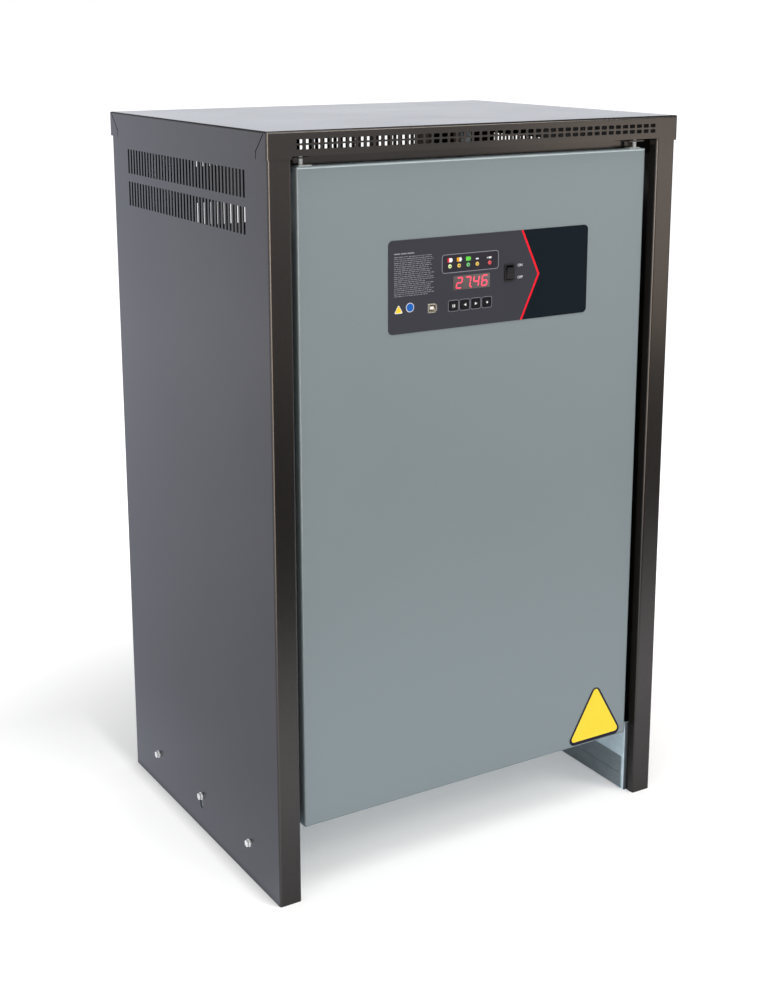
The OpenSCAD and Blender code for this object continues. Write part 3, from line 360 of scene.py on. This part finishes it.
def filmFinish(name, look):
    film = newGraph(name)
    place = film.place()
    x, z = film.axes(place)[::2]
    grain = film.noise(place, look["grain"])
    border = chevronApex.x - abs(z - chevronApex.z) * look["slope"]
    fields = film.blend(x > border, colour(*look["field"]), colour(*look["darkField"]))
    speckle, light = look["speckle"]
    return film.surface({
        "Base Color": film.blend(grain * speckle, fields, tinted(look["field"], light)),
        "Roughness": look["roughness"] + swing(grain, look["sheen"]),
        "Specular IOR Level": look["gloss"],
        "Normal": film.bump(grain, look["depth"]),
    })


# Display window and lamps

displayGlass = {
    "colour": (0.066, 0.056, 0.057),
    # tone of the painted reflection at the upper right
    "light": (0.132, 0.116, 0.118),
    "shares": (0.6, 0.4),  # painted reflection: how far it gets lighter to the right, and upward
    "haze": 6 * mm,
    "hazeShare": 0.3,
    "roughness": 0.22,
    "sheen": 0.1,
    "gloss": 0.35,
}


def windowFinish(name, look):
    glass = newGraph(name)
    place = glass.place()
    x, z = glass.axes(place)[::2]
    low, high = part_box("display_window")
    across, up = look["shares"]
    # painted reflection: the window gets lighter towards the right and the top
    share = (x - low.x) / (high.x - low.x) * across + (z - low.z) / (high.z - low.z) * up
    haze = glass.noise(place, look["haze"])
    share = share + swing(haze, look["hazeShare"])
    return glass.surface({
        "Base Color": glass.blend(share, colour(*look["colour"]), colour(*look["light"])),
        "Roughness": look["roughness"] + swing(haze, look["sheen"]),
        "Specular IOR Level": look["gloss"],
    })


lampLens = {
    "core": 0.9 * mm, "coreTone": 0.12,  # dark core in the middle of each lens
    "haze": 1.0 * mm, "spread": 0.15, "roughness": 0.22, "sheen": 0.1,
}
lampTones = {  # colour, and the lamps that have it
    "lamp_pale_green": ((0.62, 0.78, 0.36), ["lamp_1"]),
    "lamp_yellow": ((0.75, 0.52, 0.10), ["lamp_2", "lamp_4"]),
    "lamp_green": ((0.16, 0.52, 0.20), ["lamp_3"]),
    "lamp_red": ((0.66, 0.06, 0.08), ["lamp_5"]),
}


def lensFinish(name, look):
    tone, lampNodes = look
    lens = newGraph(name)
    place = lens.place()
    x, z = lens.axes(place)[::2]
    middle = 0.0
    for node in lampNodes:
        low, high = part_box(node)
        across = x - (low.x + high.x) / 2
        up = z - (low.z + high.z) / 2
        middle = middle + ((across * across + up * up) < lampLens["core"] ** 2)
    haze = lens.noise(place, lampLens["haze"])
    rim = lens.blend(haze, *shades(tone, lampLens["spread"]))
    return lens.surface({
        "Base Color": lens.blend(middle, rim, tinted(tone, lampLens["coreTone"])),
        "Roughness": lampLens["roughness"] + haze * lampLens["sheen"],
    })


# Inks printed on the film and the keys

inks = {
    "ink_white": (0.74, 0.74, 0.78),
    "ink_line": (0.26, 0.26, 0.31),
    "ink_text": (0.22, 0.22, 0.25),
    "ink_shade": (0.026, 0.024, 0.032),
    "ink_red": (0.78, 0.010, 0.026),
    "ink_icon_red": (0.72, 0.02, 0.04),
    "ink_orange": (0.86, 0.36, 0.02),
    "ink_green": (0.12, 0.58, 0.07),
    "ink_yellow": (0.80, 0.58, 0.03),
    "ink_blue": (0.012, 0.11, 0.42),
}
printing = {"screen": 0.35 * mm, "spread": 0.1, "roughness": 0.5, "sheen": 0.1, "gloss": 0.08}


def inkFinish(name, tone):
    ink = newGraph(name)
    screen = ink.noise(ink.place(), printing["screen"])
    return ink.surface({
        "Base Color": ink.blend(screen, *shades(tone, printing["spread"])),
        "Roughness": printing["roughness"] + swing(screen, printing["sheen"]),
        "Specular IOR Level": printing["gloss"],
    })


digitGlow = {
    "colour": (0.95, 0.045, 0.10), "strength": 0.85,
    "flicker": 1.2 * mm, "spread": 0.15, "roughness": 0.4, "sheen": 0.1,
}


def glowFinish(name, look):
    glow = newGraph(name)
    flicker = glow.noise(glow.place(), look["flicker"])
    tone = glow.blend(flicker, *shades(look["colour"], look["spread"]))
    return glow.surface({
        "Base Color": tone,
        "Roughness": look["roughness"] + swing(flicker, look["sheen"]),
        "Emission Color": tone,
        "Emission Strength": look["strength"],
    })


metals = {
    "zinc_sheet": zincSheet, "dark_zinc": dullZinc, "plated_steel": platedSteel, "port_metal": portShell,
    "sink_aluminium": sinkMetal, "copper_bar": copperBar, "dull_pin": shadedPinSteel,
}
plastics = {
    "switch_black": switchBlack, "key_plastic": keyFilm, "port_insulator": portBlock,
    "board_green": boardMask, "black_plastic": blackNylon, "fuse_holder": fuseHolder,
    "fuse_ceramic": fuseBody, "terminal_plastic": terminalGrey,
}
makers = [
    (powderCoat, {"cabinet_paint": cabinetPaint, "panel_paint": panelPaint}),
    (filmFinish, {"overlay_film": overlayFilm}),
    (windowFinish, {"display_window": displayGlass}),
    (glowFinish, {"display_digits": digitGlow}),
    (layered, {"core_varnish": coreSheets, "coil_varnish": coilTurns}),
    (coatedMetal, metals),
    (mouldedPlastic, plastics),
    (lensFinish, lampTones),
    (inkFinish, inks),
]
finishes = {name: make(name, look) for make, looks in makers for name, look in looks.items()}

for row in frame["record"]["subparts"]:
    mesh = nodes[row["node"]].data
    mesh.materials.clear()
    mesh.materials.append(finishes[row["material_slot"]])
nodes["front_panel_pins"].data.materials[0] = finishes["dull_pin"]  # painted shade: a darker copy of the screws' steel for the pins in the recess under the cover's lip
print("finishes made:", len(finishes))


# Flat shapes: outlines in millimetres, x to the right and z up as seen from the front

inkLayer = {  # mm
    "thickness": 0.06,
    "sink": 0.01,
    "over": 0.05,  # how far print on other print lies in front of it
    "capital": 0.7,  # share of a letter's size that capitals take
    "curve": 4,  # steps in the curves of letters
}


def roundedOutline(centre, size, radius, steps=6):
    outline = []
    for quarter in range(4):
        sideX = 1 if quarter in (0, 3) else -1
        sideZ = 1 if quarter < 2 else -1
        cornerX = centre[0] + sideX * (size[0] / 2 - radius)
        cornerZ = centre[1] + sideZ * (size[1] / 2 - radius)
        for step in range(steps + 1):
            angle = math.radians(90 * (quarter + step / steps))
            outline.append((cornerX + radius * math.cos(angle), cornerZ + radius * math.sin(angle)))
    return outline


def frameOutlines(centre, size, radius, line):
    inner = (size[0] - 2 * line, size[1] - 2 * line)
    return [roundedOutline(centre, size, radius), roundedOutline(centre, inner, radius - line)]


def disc(centre, radius, steps=32):
    turns = [2 * math.pi * step / steps for step in range(steps)]
    return [(centre[0] + radius * math.cos(turn), centre[1] + radius * math.sin(turn)) for turn in turns]


def roundedTriangle(centre, width, height, radius, steps=8):
    # width and height are those of the sharp triangle, and rounding takes its corners off
    slant = math.atan2(height, width / 2)
    reach = width / 2 - radius / math.tan(slant / 2)
    rise = height - radius - radius / math.cos(slant)
    bottom = centre[1] - height / 2 + radius
    lean = math.degrees(slant)
    corners = [
        ((centre[0] + reach, bottom), -90, 90 - lean),
        ((centre[0], bottom + rise), 90 - lean, 90 + lean),
        ((centre[0] - reach, bottom), 90 + lean, 270),
    ]
    outline = []
    for (x, z), start, end in corners:
        for step in range(steps + 1):
            angle = math.radians(start + (end - start) * step / steps)
            outline.append((x + radius * math.cos(angle), z + radius * math.sin(angle)))
    return outline


def settle(curve, name, face, finish, body):
    # a filled curve becomes a mesh that stands upright at a face
    sketch = bpy.data.objects.new(name, curve)
    mesh = bpy.data.meshes.new_from_object(sketch)
    bpy.data.objects.remove(sketch)
    stand = Matrix.Rotation(math.radians(90), 4, "X")
    mesh.transform(Matrix.Translation((0, face, 0)) @ Matrix.Scale(mm, 4) @ stand)
    mesh.materials.clear()
    mesh.materials.append(finishes[finish])
    piece = bpy.data.objects.new(name, mesh)
    bpy.context.scene.collection.objects.link(piece)
    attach(piece, body)
    return piece


def flatShape(name, outlines, face, finish, body="cabinet",
              thickness=inkLayer["thickness"], bevel=0.0):
    curve = bpy.data.curves.new(name, "CURVE")
    curve.dimensions = "2D"
    curve.fill_mode = "BOTH"
    curve.extrude = thickness / 2 - bevel
    curve.bevel_depth = bevel
    curve.offset = -bevel
    for outline in outlines:
        spline = curve.splines.new("POLY")
        spline.points.add(len(outline) - 1)
        for point, (x, z) in zip(spline.points, outline):
            point.co = (x, z, 0, 1)
        spline.use_cyclic_u = True
    middle = face - (thickness / 2 - inkLayer["sink"]) * mm
    settle(curve, name, middle, finish, body)


def lettering(name, words, start, height, face, finish):
    curve = bpy.data.curves.new(name, "FONT")
    curve.body = words
    curve.size = height / inkLayer["capital"]
    curve.extrude = inkLayer["thickness"] / 2
    curve.resolution_u = inkLayer["curve"]
    middle = face - inkLayer["thickness"] / 2 * mm
    piece = settle(curve, name, middle, finish, "cabinet")
    piece.data.transform(Matrix.Translation((start[0] * mm, 0, start[1] * mm)))


def block(x0, z0, x1, z1):
    return [(x0, z0), (x1, z0), (x1, z1), (x0, z1)]


def nodeMiddle(name):
    low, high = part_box(name)
    return (low.x + high.x) / 2 / mm, (low.z + high.z) / 2 / mm


# Print on the overlay

filmFace = filmLow.y
printFace = filmFace - inkLayer["over"] * mm
filmLeft, filmRight = filmLow.x / mm, filmHigh.x / mm
filmMiddle, filmTop = chevronApex.z / mm, filmHigh.z / mm

redLine = {"width": 2.9, "tail": 103.4}  # mm; tail is the line's ends from the film's right edge


def drawRedLine(look):
    apex = chevronApex.x / mm
    tail = filmRight - look["tail"]
    rise = filmTop - filmMiddle
    half = look["width"] / 2
    outline = [
        (tail - half, filmMiddle - rise), (tail + half, filmMiddle - rise), (apex + half, filmMiddle),
        (tail + half, filmMiddle + rise), (tail - half, filmMiddle + rise), (apex - half, filmMiddle),
    ]
    flatShape("red_line", [outline], filmFace, "ink_red")


lampFrame = {"size": (83.6, 23.0), "radius": 4.0, "line": 0.7, "lift": 3.2, "right": 1.0}  # mm
lampIcon = {  # mm
    "size": (6.4, 5.0), "lift": 7.4, "nub": (0.8, 2.4),
    "charge": {1: ("ink_icon_red", 0.36), 2: ("ink_orange", 0.58), 3: ("ink_green", 1.0)},  # ink and level
    "bars": {4: [(0.0, 4.2, 1.6)], 5: [(-3.4, 1.2, 1.6), (0.4, 4.2, 2.2)]},  # place, width and height
    "barDrop": 1.0,
}


def drawLampField(look, icon):
    lamps = [nodeMiddle("lamp_%d" % number) for number in range(1, 6)]
    centre = ((lamps[0][0] + lamps[4][0]) / 2 + look["right"], lamps[0][1] + look["lift"])
    flatShape("lamp_field", [roundedOutline(centre, look["size"], look["radius"])], filmFace, "ink_shade")
    border = frameOutlines(centre, look["size"], look["radius"], look["line"])
    flatShape("lamp_frame", border, printFace, "ink_line")
    width, height = icon["size"]
    nubWidth, nubHeight = icon["nub"]
    for number, (tone, level) in icon["charge"].items():
        left = lamps[number - 1][0] - width / 2
        right = left + width
        edge = left + level * width
        z = lamps[number - 1][1] + icon["lift"]
        low, high = z - height / 2, z + height / 2
        nub = block(right, z - nubHeight / 2, right + nubWidth, z + nubHeight / 2)
        rest = [(edge, low), (right, low), *nub, (right, high), (edge, high)] if level < 1 else nub
        flatShape("charge_level_%d" % number, [block(left, low, edge, high)], printFace, tone)
        flatShape("charge_rest_%d" % number, [rest], printFace, "ink_white" if level < 1 else tone)
    for number, bars in icon["bars"].items():
        x, z = lamps[number - 1][0], lamps[number - 1][1] + icon["lift"] - icon["barDrop"]
        outlines = [block(x + dx - w / 2, z - h / 2, x + dx + w / 2, z + h / 2) for dx, w, h in bars]
        flatShape("lamp_mark_%d" % number, outlines, printFace, "ink_white")


keyPrint = {"frame": (15.4, 14.2), "radius": 2.6, "line": 0.5, "mark": 3.6, "dot": 0.36}  # mm; dot in marks


def drawKeys(look):
    half, sixth = look["mark"] / 2, look["mark"] / 6
    marks = [
        lambda x, z: [block(x - half, z - half, x - sixth, z + half),
                      block(x + sixth, z - half, x + half, z + half)],
        lambda x, z: [[(x - half, z), (x + half, z - half), (x + half, z + half)]],
        lambda x, z: [[(x - half, z - half), (x + half, z), (x - half, z + half)]],
        lambda x, z: [disc((x, z), look["dot"] * look["mark"])],
    ]
    bodies = ["first_key", "second_key", "third_key", "fourth_key"]
    frames = []
    for number, (body, mark) in enumerate(zip(bodies, marks), 1):
        name = "key_%d" % number
        x, z = nodeMiddle(name)
        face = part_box(name)[0].y
        frames += frameOutlines((x, z), look["frame"], look["radius"], look["line"])
        flatShape(name + "_mark", mark(x, z), face, "ink_white", body)
    flatShape("key_frames", frames, filmFace, "ink_line")


textBlock = {  # mm
    "left": 7.8, "right": 64.2,  # from the film's left edge
    "top": 15.6, "bottom": 71.4,  # below the film's upper edge
    "pitch": 2.35, "height": (0.6, 0.95), "word": (1.4, 6.5), "space": 1.0,
    "ragged": (0, 4), "lastRagged": (6, 30),  # how much shorter a line is, and a paragraph's last one
    "paragraph": 7,  # lines
    "heading": (28.0, 1.4), "headingWords": [(0.0, 0.30), (0.34, 0.62), (0.66, 1.0)],  # shares of its width
    "headingRoom": 3,  # heights of the heading from its top to the first line
}


def drawTextLines(look):
    draw = random.Random(5)
    left = filmLeft + look["left"]
    right = filmLeft + look["right"]
    top = filmTop - look["top"]
    wide, tall = look["heading"]
    words = look["headingWords"]
    heading = [block(left + wide * start, top - tall, left + wide * end, top) for start, end in words]
    flatShape("text_heading", heading, filmFace, "ink_line")
    room = look["headingRoom"] * tall
    rows = int((look["bottom"] - look["top"] - room) / look["pitch"])
    bars = []
    for row in range(rows):
        z = top - room - row * look["pitch"]
        last = (row + 1) % look["paragraph"] == 0
        end = right - draw.uniform(*look["lastRagged" if last else "ragged"])
        x = left
        while x < end - look["word"][0]:
            word = min(draw.uniform(*look["word"]), end - x)
            bars.append(block(x, z - draw.uniform(*look["height"]), x + word, z))
            x += word + look["space"]
    flatShape("text_lines", bars, filmFace, "ink_text")


smallSigns = {  # mm
    "left": 14.0, "down": 82.5, "step": 16.2,
    "triangle": (12.4, 11.0), "radius": 1.2,
    "inner": 0.8, "innerRadius": 0.8, "innerDrop": 0.2,  # yellow face: share of the triangle, corners, place
    "disc": 5.7, "discInner": 0.88, "discLift": 0.6,
}


def drawSmallSigns(look):
    x = filmLeft + look["left"]
    z = filmTop - look["down"]
    wide, tall = look["triangle"]
    outer = roundedTriangle((x, z), wide, tall, look["radius"])
    flatShape("sign_triangle_back", [outer], filmFace, "ink_white")
    share = look["inner"]
    inner = roundedTriangle((x, z - look["innerDrop"]), share * wide, share * tall, look["innerRadius"])
    flatShape("sign_triangle", [inner], printFace, "ink_yellow")
    centre = (x + look["step"], z + look["discLift"])
    flatShape("sign_disc_back", [disc(centre, look["disc"])], filmFace, "ink_white")
    flatShape("sign_disc", [disc(centre, look["discInner"] * look["disc"])], printFace, "ink_blue")


switchWords = {"gap": 5.2, "height": 3.3, "on": 8.0, "off": -7.2}  # mm


def drawSwitchWords(look):
    low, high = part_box("switch_bezel")
    x = high.x / mm + look["gap"]
    z = (low.z + high.z) / 2 / mm - look["height"] / 2
    lettering("word_on", "ON", (x, z + look["on"]), look["height"], filmFace, "ink_white")
    lettering("word_off", "OFF", (x, z + look["off"]), look["height"], filmFace, "ink_white")


readout = {
    "digits": "27.46", "height": 12.6, "width": 7.4, "line": 1.6, "pitch": 12.4, "left": 7.2,  # mm
    "lean": 0.14,  # sideways, as a share of the height
    "gap": 0.14,  # between strokes, in lines
    "point": (0.24, 0.6, 16),  # how far to the left in pitches, radius in lines, steps
}
segments = {  # top, upper right, lower right, bottom, lower left, upper left, middle
    "2": "1101101", "7": "1110000", "4": "0110011", "6": "1011111",
}


def digitOutlines(shape, x, z, look):
    wide, tall, half = look["width"], look["height"], look["line"] / 2
    gap = look["gap"] * look["line"]

    def across(level):
        return [
            (gap, level), (half, level + half), (wide - half, level + half),
            (wide - gap, level), (wide - half, level - half), (half, level - half),
        ]

    def upright(place, low, high):
        return [
            (place, low + gap), (place + half, low + half), (place + half, high - half),
            (place, high - gap), (place - half, high - half), (place - half, low + half),
        ]

    strokes = [
        across(tall), upright(wide, tall / 2, tall), upright(wide, 0, tall / 2), across(0),
        upright(0, 0, tall / 2), upright(0, tall / 2, tall), across(tall / 2),
    ]
    chosen = [stroke for stroke, lit in zip(strokes, segments[shape]) if lit == "1"]
    return [[(x + px + look["lean"] * pz, z + pz) for px, pz in stroke] for stroke in chosen]


def drawReadout(look):
    low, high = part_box("display_window")
    x = low.x / mm + look["left"] - look["lean"] * look["height"] / 2
    z = (low.z + high.z) / 2 / mm - look["height"] / 2
    back, radius, steps = look["point"]
    outlines = []
    for shape in look["digits"]:
        if shape == ".":
            outlines.append(disc((x - back * look["pitch"], z), radius * look["line"], steps))
        else:
            outlines += digitOutlines(shape, x, z, look)
            x += look["pitch"]
    flatShape("display_digits", outlines, low.y, "display_digits")


drawRedLine(redLine)
drawLampField(lampFrame, lampIcon)
drawKeys(keyPrint)
drawTextLines(textBlock)
drawSmallSigns(smallSigns)
drawSwitchWords(switchWords)
drawReadout(readout)
print("overlay printed")


# Plain yellow plate at the front panel's lower right corner

yellowPlate = {
    "colour": (0.86, 0.66, 0.055), "edge": (0.016, 0.013, 0.030),
    "size": (98.0, 86.0), "radius": 8.0, "thickness": 0.5, "bevel": 0.08,  # mm
    "fromRight": 54.5, "fromBottom": 46.0,
    "rim": 3.4, "innerRadius": 4.5, "sink": 0.02,
    "inset": 3.4, "drop": 0.1,  # how much narrower the yellow face is, and how much lower, in rims
}
finishes["plate_yellow"] = inkFinish("plate_yellow", yellowPlate["colour"])
finishes["plate_edge"] = inkFinish("plate_edge", yellowPlate["edge"])


def fixPlate(look):
    low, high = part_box("front_panel")
    x, z = high.x / mm - look["fromRight"], low.z / mm + look["fromBottom"]
    wide, tall = look["size"]
    outer = roundedTriangle((x, z), wide, tall, look["radius"])
    flatShape("plate_back", [outer], low.y, "plate_edge",
              thickness=look["thickness"], bevel=look["bevel"])
    face = low.y - (look["thickness"] - look["sink"]) * mm
    shrink = 1 - look["inset"] * look["rim"] / wide
    middle = (x, z - look["drop"] * look["rim"])
    inner = roundedTriangle(middle, wide * shrink, tall * shrink, look["innerRadius"])
    flatShape("plate_face", [inner], face, "plate_yellow")


fixPlate(yellowPlate)
print("plate fixed")


# Floor, light and camera

white = colour(1, 1, 1)
studio = {  # lengths in metres
    "floorSize": 60,
    "floorTone": 0.8,
    "lift": (0.25, 0.75),  # what the camera sees on top of the lit floor, near the object and farther off
    "reach": (0.36, 0.95),  # distance over which the lift grows
    "leftLift": 0.32,  # painted light on the floor beside the left panel, which takes out its shadow there
    "leftReach": (-0.296, -0.316),
    "leftRear": (0.45, 0.15),  # where that starts and is full, from the rear
    "mirrorLift": (0.7, 0.5, 0.42),  # painted light that only mirror rays see, in front, farther off and at the left
    "nearReach": (-0.15, -0.5),
    "mirrorReach": (0.9, 3.6),
    "besideReach": (-0.292, -0.302),
    "closeLift": 0.25,  # more of that painted light right beside the left panel
    "closeReach": (-0.45, -0.30),
    "sky": 0.5,  # level of the light from all round
    "horizon": 1.2,  # white that mirror rays see low down all round
    "ceiling": 0.15,  # the same overhead
    "ceilingReach": (0.2, 0.36),  # upward part of the way from one to the other
    "front": 0.35,  # share of it at the open front of the studio
    "openReach": (-0.35, -0.75),  # forward part of the way where that starts and is full
    "frontFloor": (0.02, 1.1),  # level on the floor there, near and far
    "frontReach": (-0.65, -1.25, -2.0, -10.0),  # where the near level starts and is full, and the far one
    "rightLift": 0.2,  # more of that painted light at the right
    "rightReach": (0.3, 1.3),
    "corner": (7.0, -0.45, -0.75),  # painted bright warm patch on the floor at the front left, seen only in reflections, and where it starts and is full
    "frontSide": 0.85,  # how far the front reaches to the left, as a share of the way to the front
    "frontEdge": (-0.05, 0.05),
    "tint": (0.95, 0.97, 1.0),
    "floorTint": (0.91, 0.94, 1.0),
    "cornerTint": (1.0, 0.86, 0.70),
    "aim": (0, 0, 0.5),  # where the lights point
}


def layFloor(look):
    bpy.ops.mesh.primitive_plane_add(size=look["floorSize"], location=(0, 0, 0))
    floor = bpy.context.object
    floor.name = "floor"
    graph = newGraph("floor_white")
    x, y = graph.axes(graph.place())[:2]
    camera, mirror = graph.rays()

    # the lit floor, with its lift
    away = (x * x + y * y) ** 0.5
    # painted light beside the left panel, seen by the camera, that lifts the panel's shadow off the floor
    left = graph.between(x, look["leftReach"], (0.0, look["leftLift"])) * graph.between(y, look["leftRear"])
    seen = (graph.between(away, look["reach"], look["lift"]) + left) * camera
    # painted light that only mirror rays see, which brightens the floor's reflection near the cabinet
    near = graph.between(y, look["nearReach"])
    far = graph.between(away, look["mirrorReach"])
    beside = graph.between(x, look["besideReach"])
    close = graph.between(x, look["closeReach"], (0.0, look["closeLift"]))
    frontLift, farLift, leftLift = look["mirrorLift"]
    mirrored = (near * frontLift + far * farLift + beside * (close + leftLift)) * mirror
    tone = graph.blend(mirror, white, colour(*look["floorTint"]))
    mattTone = graph.stretch(tone, [look["floorTone"]] * 3)
    matt = graph.add("ShaderNodeBsdfDiffuse", {}, {"Color": mattTone})
    glow = graph.add("ShaderNodeEmission", {}, {"Color": tone, "Strength": seen + mirrored})
    sheet = graph.add("ShaderNodeAddShader", {}, {0: matt, 1: glow})

    # painted light that mirror rays see of it at the open front, with a bright warm patch at the front left
    start, full, fade, end = look["frontReach"]
    bright, edge, inside = look["corner"]
    corner = graph.between(x, (edge, inside)) * graph.between(y, (edge, inside))
    right = graph.between(x, look["rightReach"], (0.0, look["rightLift"]))
    dim = graph.between(y, (fade, end), look["frontFloor"]) + right
    strength = dim * (1 - corner) + corner * bright
    frontTone = graph.blend(corner, white, colour(*look["cornerTint"]))
    ahead = graph.add("ShaderNodeEmission", {}, {"Color": frontTone, "Strength": strength})
    inFront = graph.between(x - y * look["frontSide"], look["frontEdge"])
    share = mirror * graph.between(y, (start, full)) * inFront
    both = graph.add("ShaderNodeMixShader", {}, {0: share, 1: sheet, 2: ahead})
    graph.add("ShaderNodeOutputMaterial", {}, {"Surface": both})
    floor.data.materials.append(graph.owner)


def lightWorld(look):
    world = bpy.data.worlds.new("studio")
    bpy.context.scene.world = world
    graph = Graph(world)
    camera, mirror = graph.rays()
    y, z = graph.axes(graph.add("ShaderNodeTexCoord", {}, {}).out("Generated"))[1:]
    overhead = graph.between(z, look["ceilingReach"], (look["horizon"], look["ceiling"]))
    ahead = graph.between(y, look["openReach"], (1.0, look["front"]))
    level = camera + mirror * overhead * ahead + (1 - camera - mirror) * look["sky"]
    tone = graph.blend(mirror, white, colour(*look["tint"]))
    glow = graph.add("ShaderNodeBackground", {}, {"Color": tone, "Strength": level})
    graph.add("ShaderNodeOutputWorld", {}, {"Surface": glow})


softBoxes = {  # place in metres, width, watts, colour
    "side_light": ((2.4, -2.6, 0.45), 0.85, 4.5, (1.0, 0.86, 0.70)),
    "fill_light": ((-3.2, -1.2, 1.9), 2.2, 32.0, (0.93, 0.96, 1.0)),
    "top_light": ((0.5, -1.2, 3.3), 1.6, 38.0, (1.0, 1.0, 1.0)),
    "high_light": ((1.9, -2.8, 2.6), 1.2, 50.0, (1.0, 0.95, 0.88)),
    "low_light": ((-1.8, -2.6, 0.6), 0.8, 16.0, (1.0, 0.96, 0.90)),
}


def hangLights(boxes, target):
    for name, (place, width, watts, tone) in boxes.items():
        data = bpy.data.lights.new(name, "AREA")
        data.size = width
        data.energy = watts
        data.color = tone
        light = bpy.data.objects.new(name, data)
        light.location = place
        light.rotation_euler = (Vector(target) - Vector(place)).to_track_quat("-Z", "Y").to_euler()
        bpy.context.scene.collection.objects.link(light)


viewpoint = {
    "place": (-1.0816, -1.7729, 1.0689),  # metres
    "turn": 31.507,  # degrees to the right
    "tilt": 13.01,  # degrees downward
    "lens": 56.0,  # mm
    "sensor": 36,  # mm
    "shift": -0.12,
}


def setCamera(look):
    data = bpy.data.cameras.new("camera")
    data.sensor_width = look["sensor"]
    data.lens = look["lens"]
    data.shift_y = look["shift"]
    camera = bpy.data.objects.new("camera", data)
    camera.location = look["place"]
    camera.rotation_euler = (math.radians(90 - look["tilt"]), 0, math.radians(-look["turn"]))
    bpy.context.scene.collection.objects.link(camera)
    bpy.context.scene.camera = camera


layFloor(studio)
lightWorld(studio)
hangLights(softBoxes, studio["aim"])
setCamera(viewpoint)
bpy.context.scene.view_settings.view_transform = "Standard"
print("studio ready")
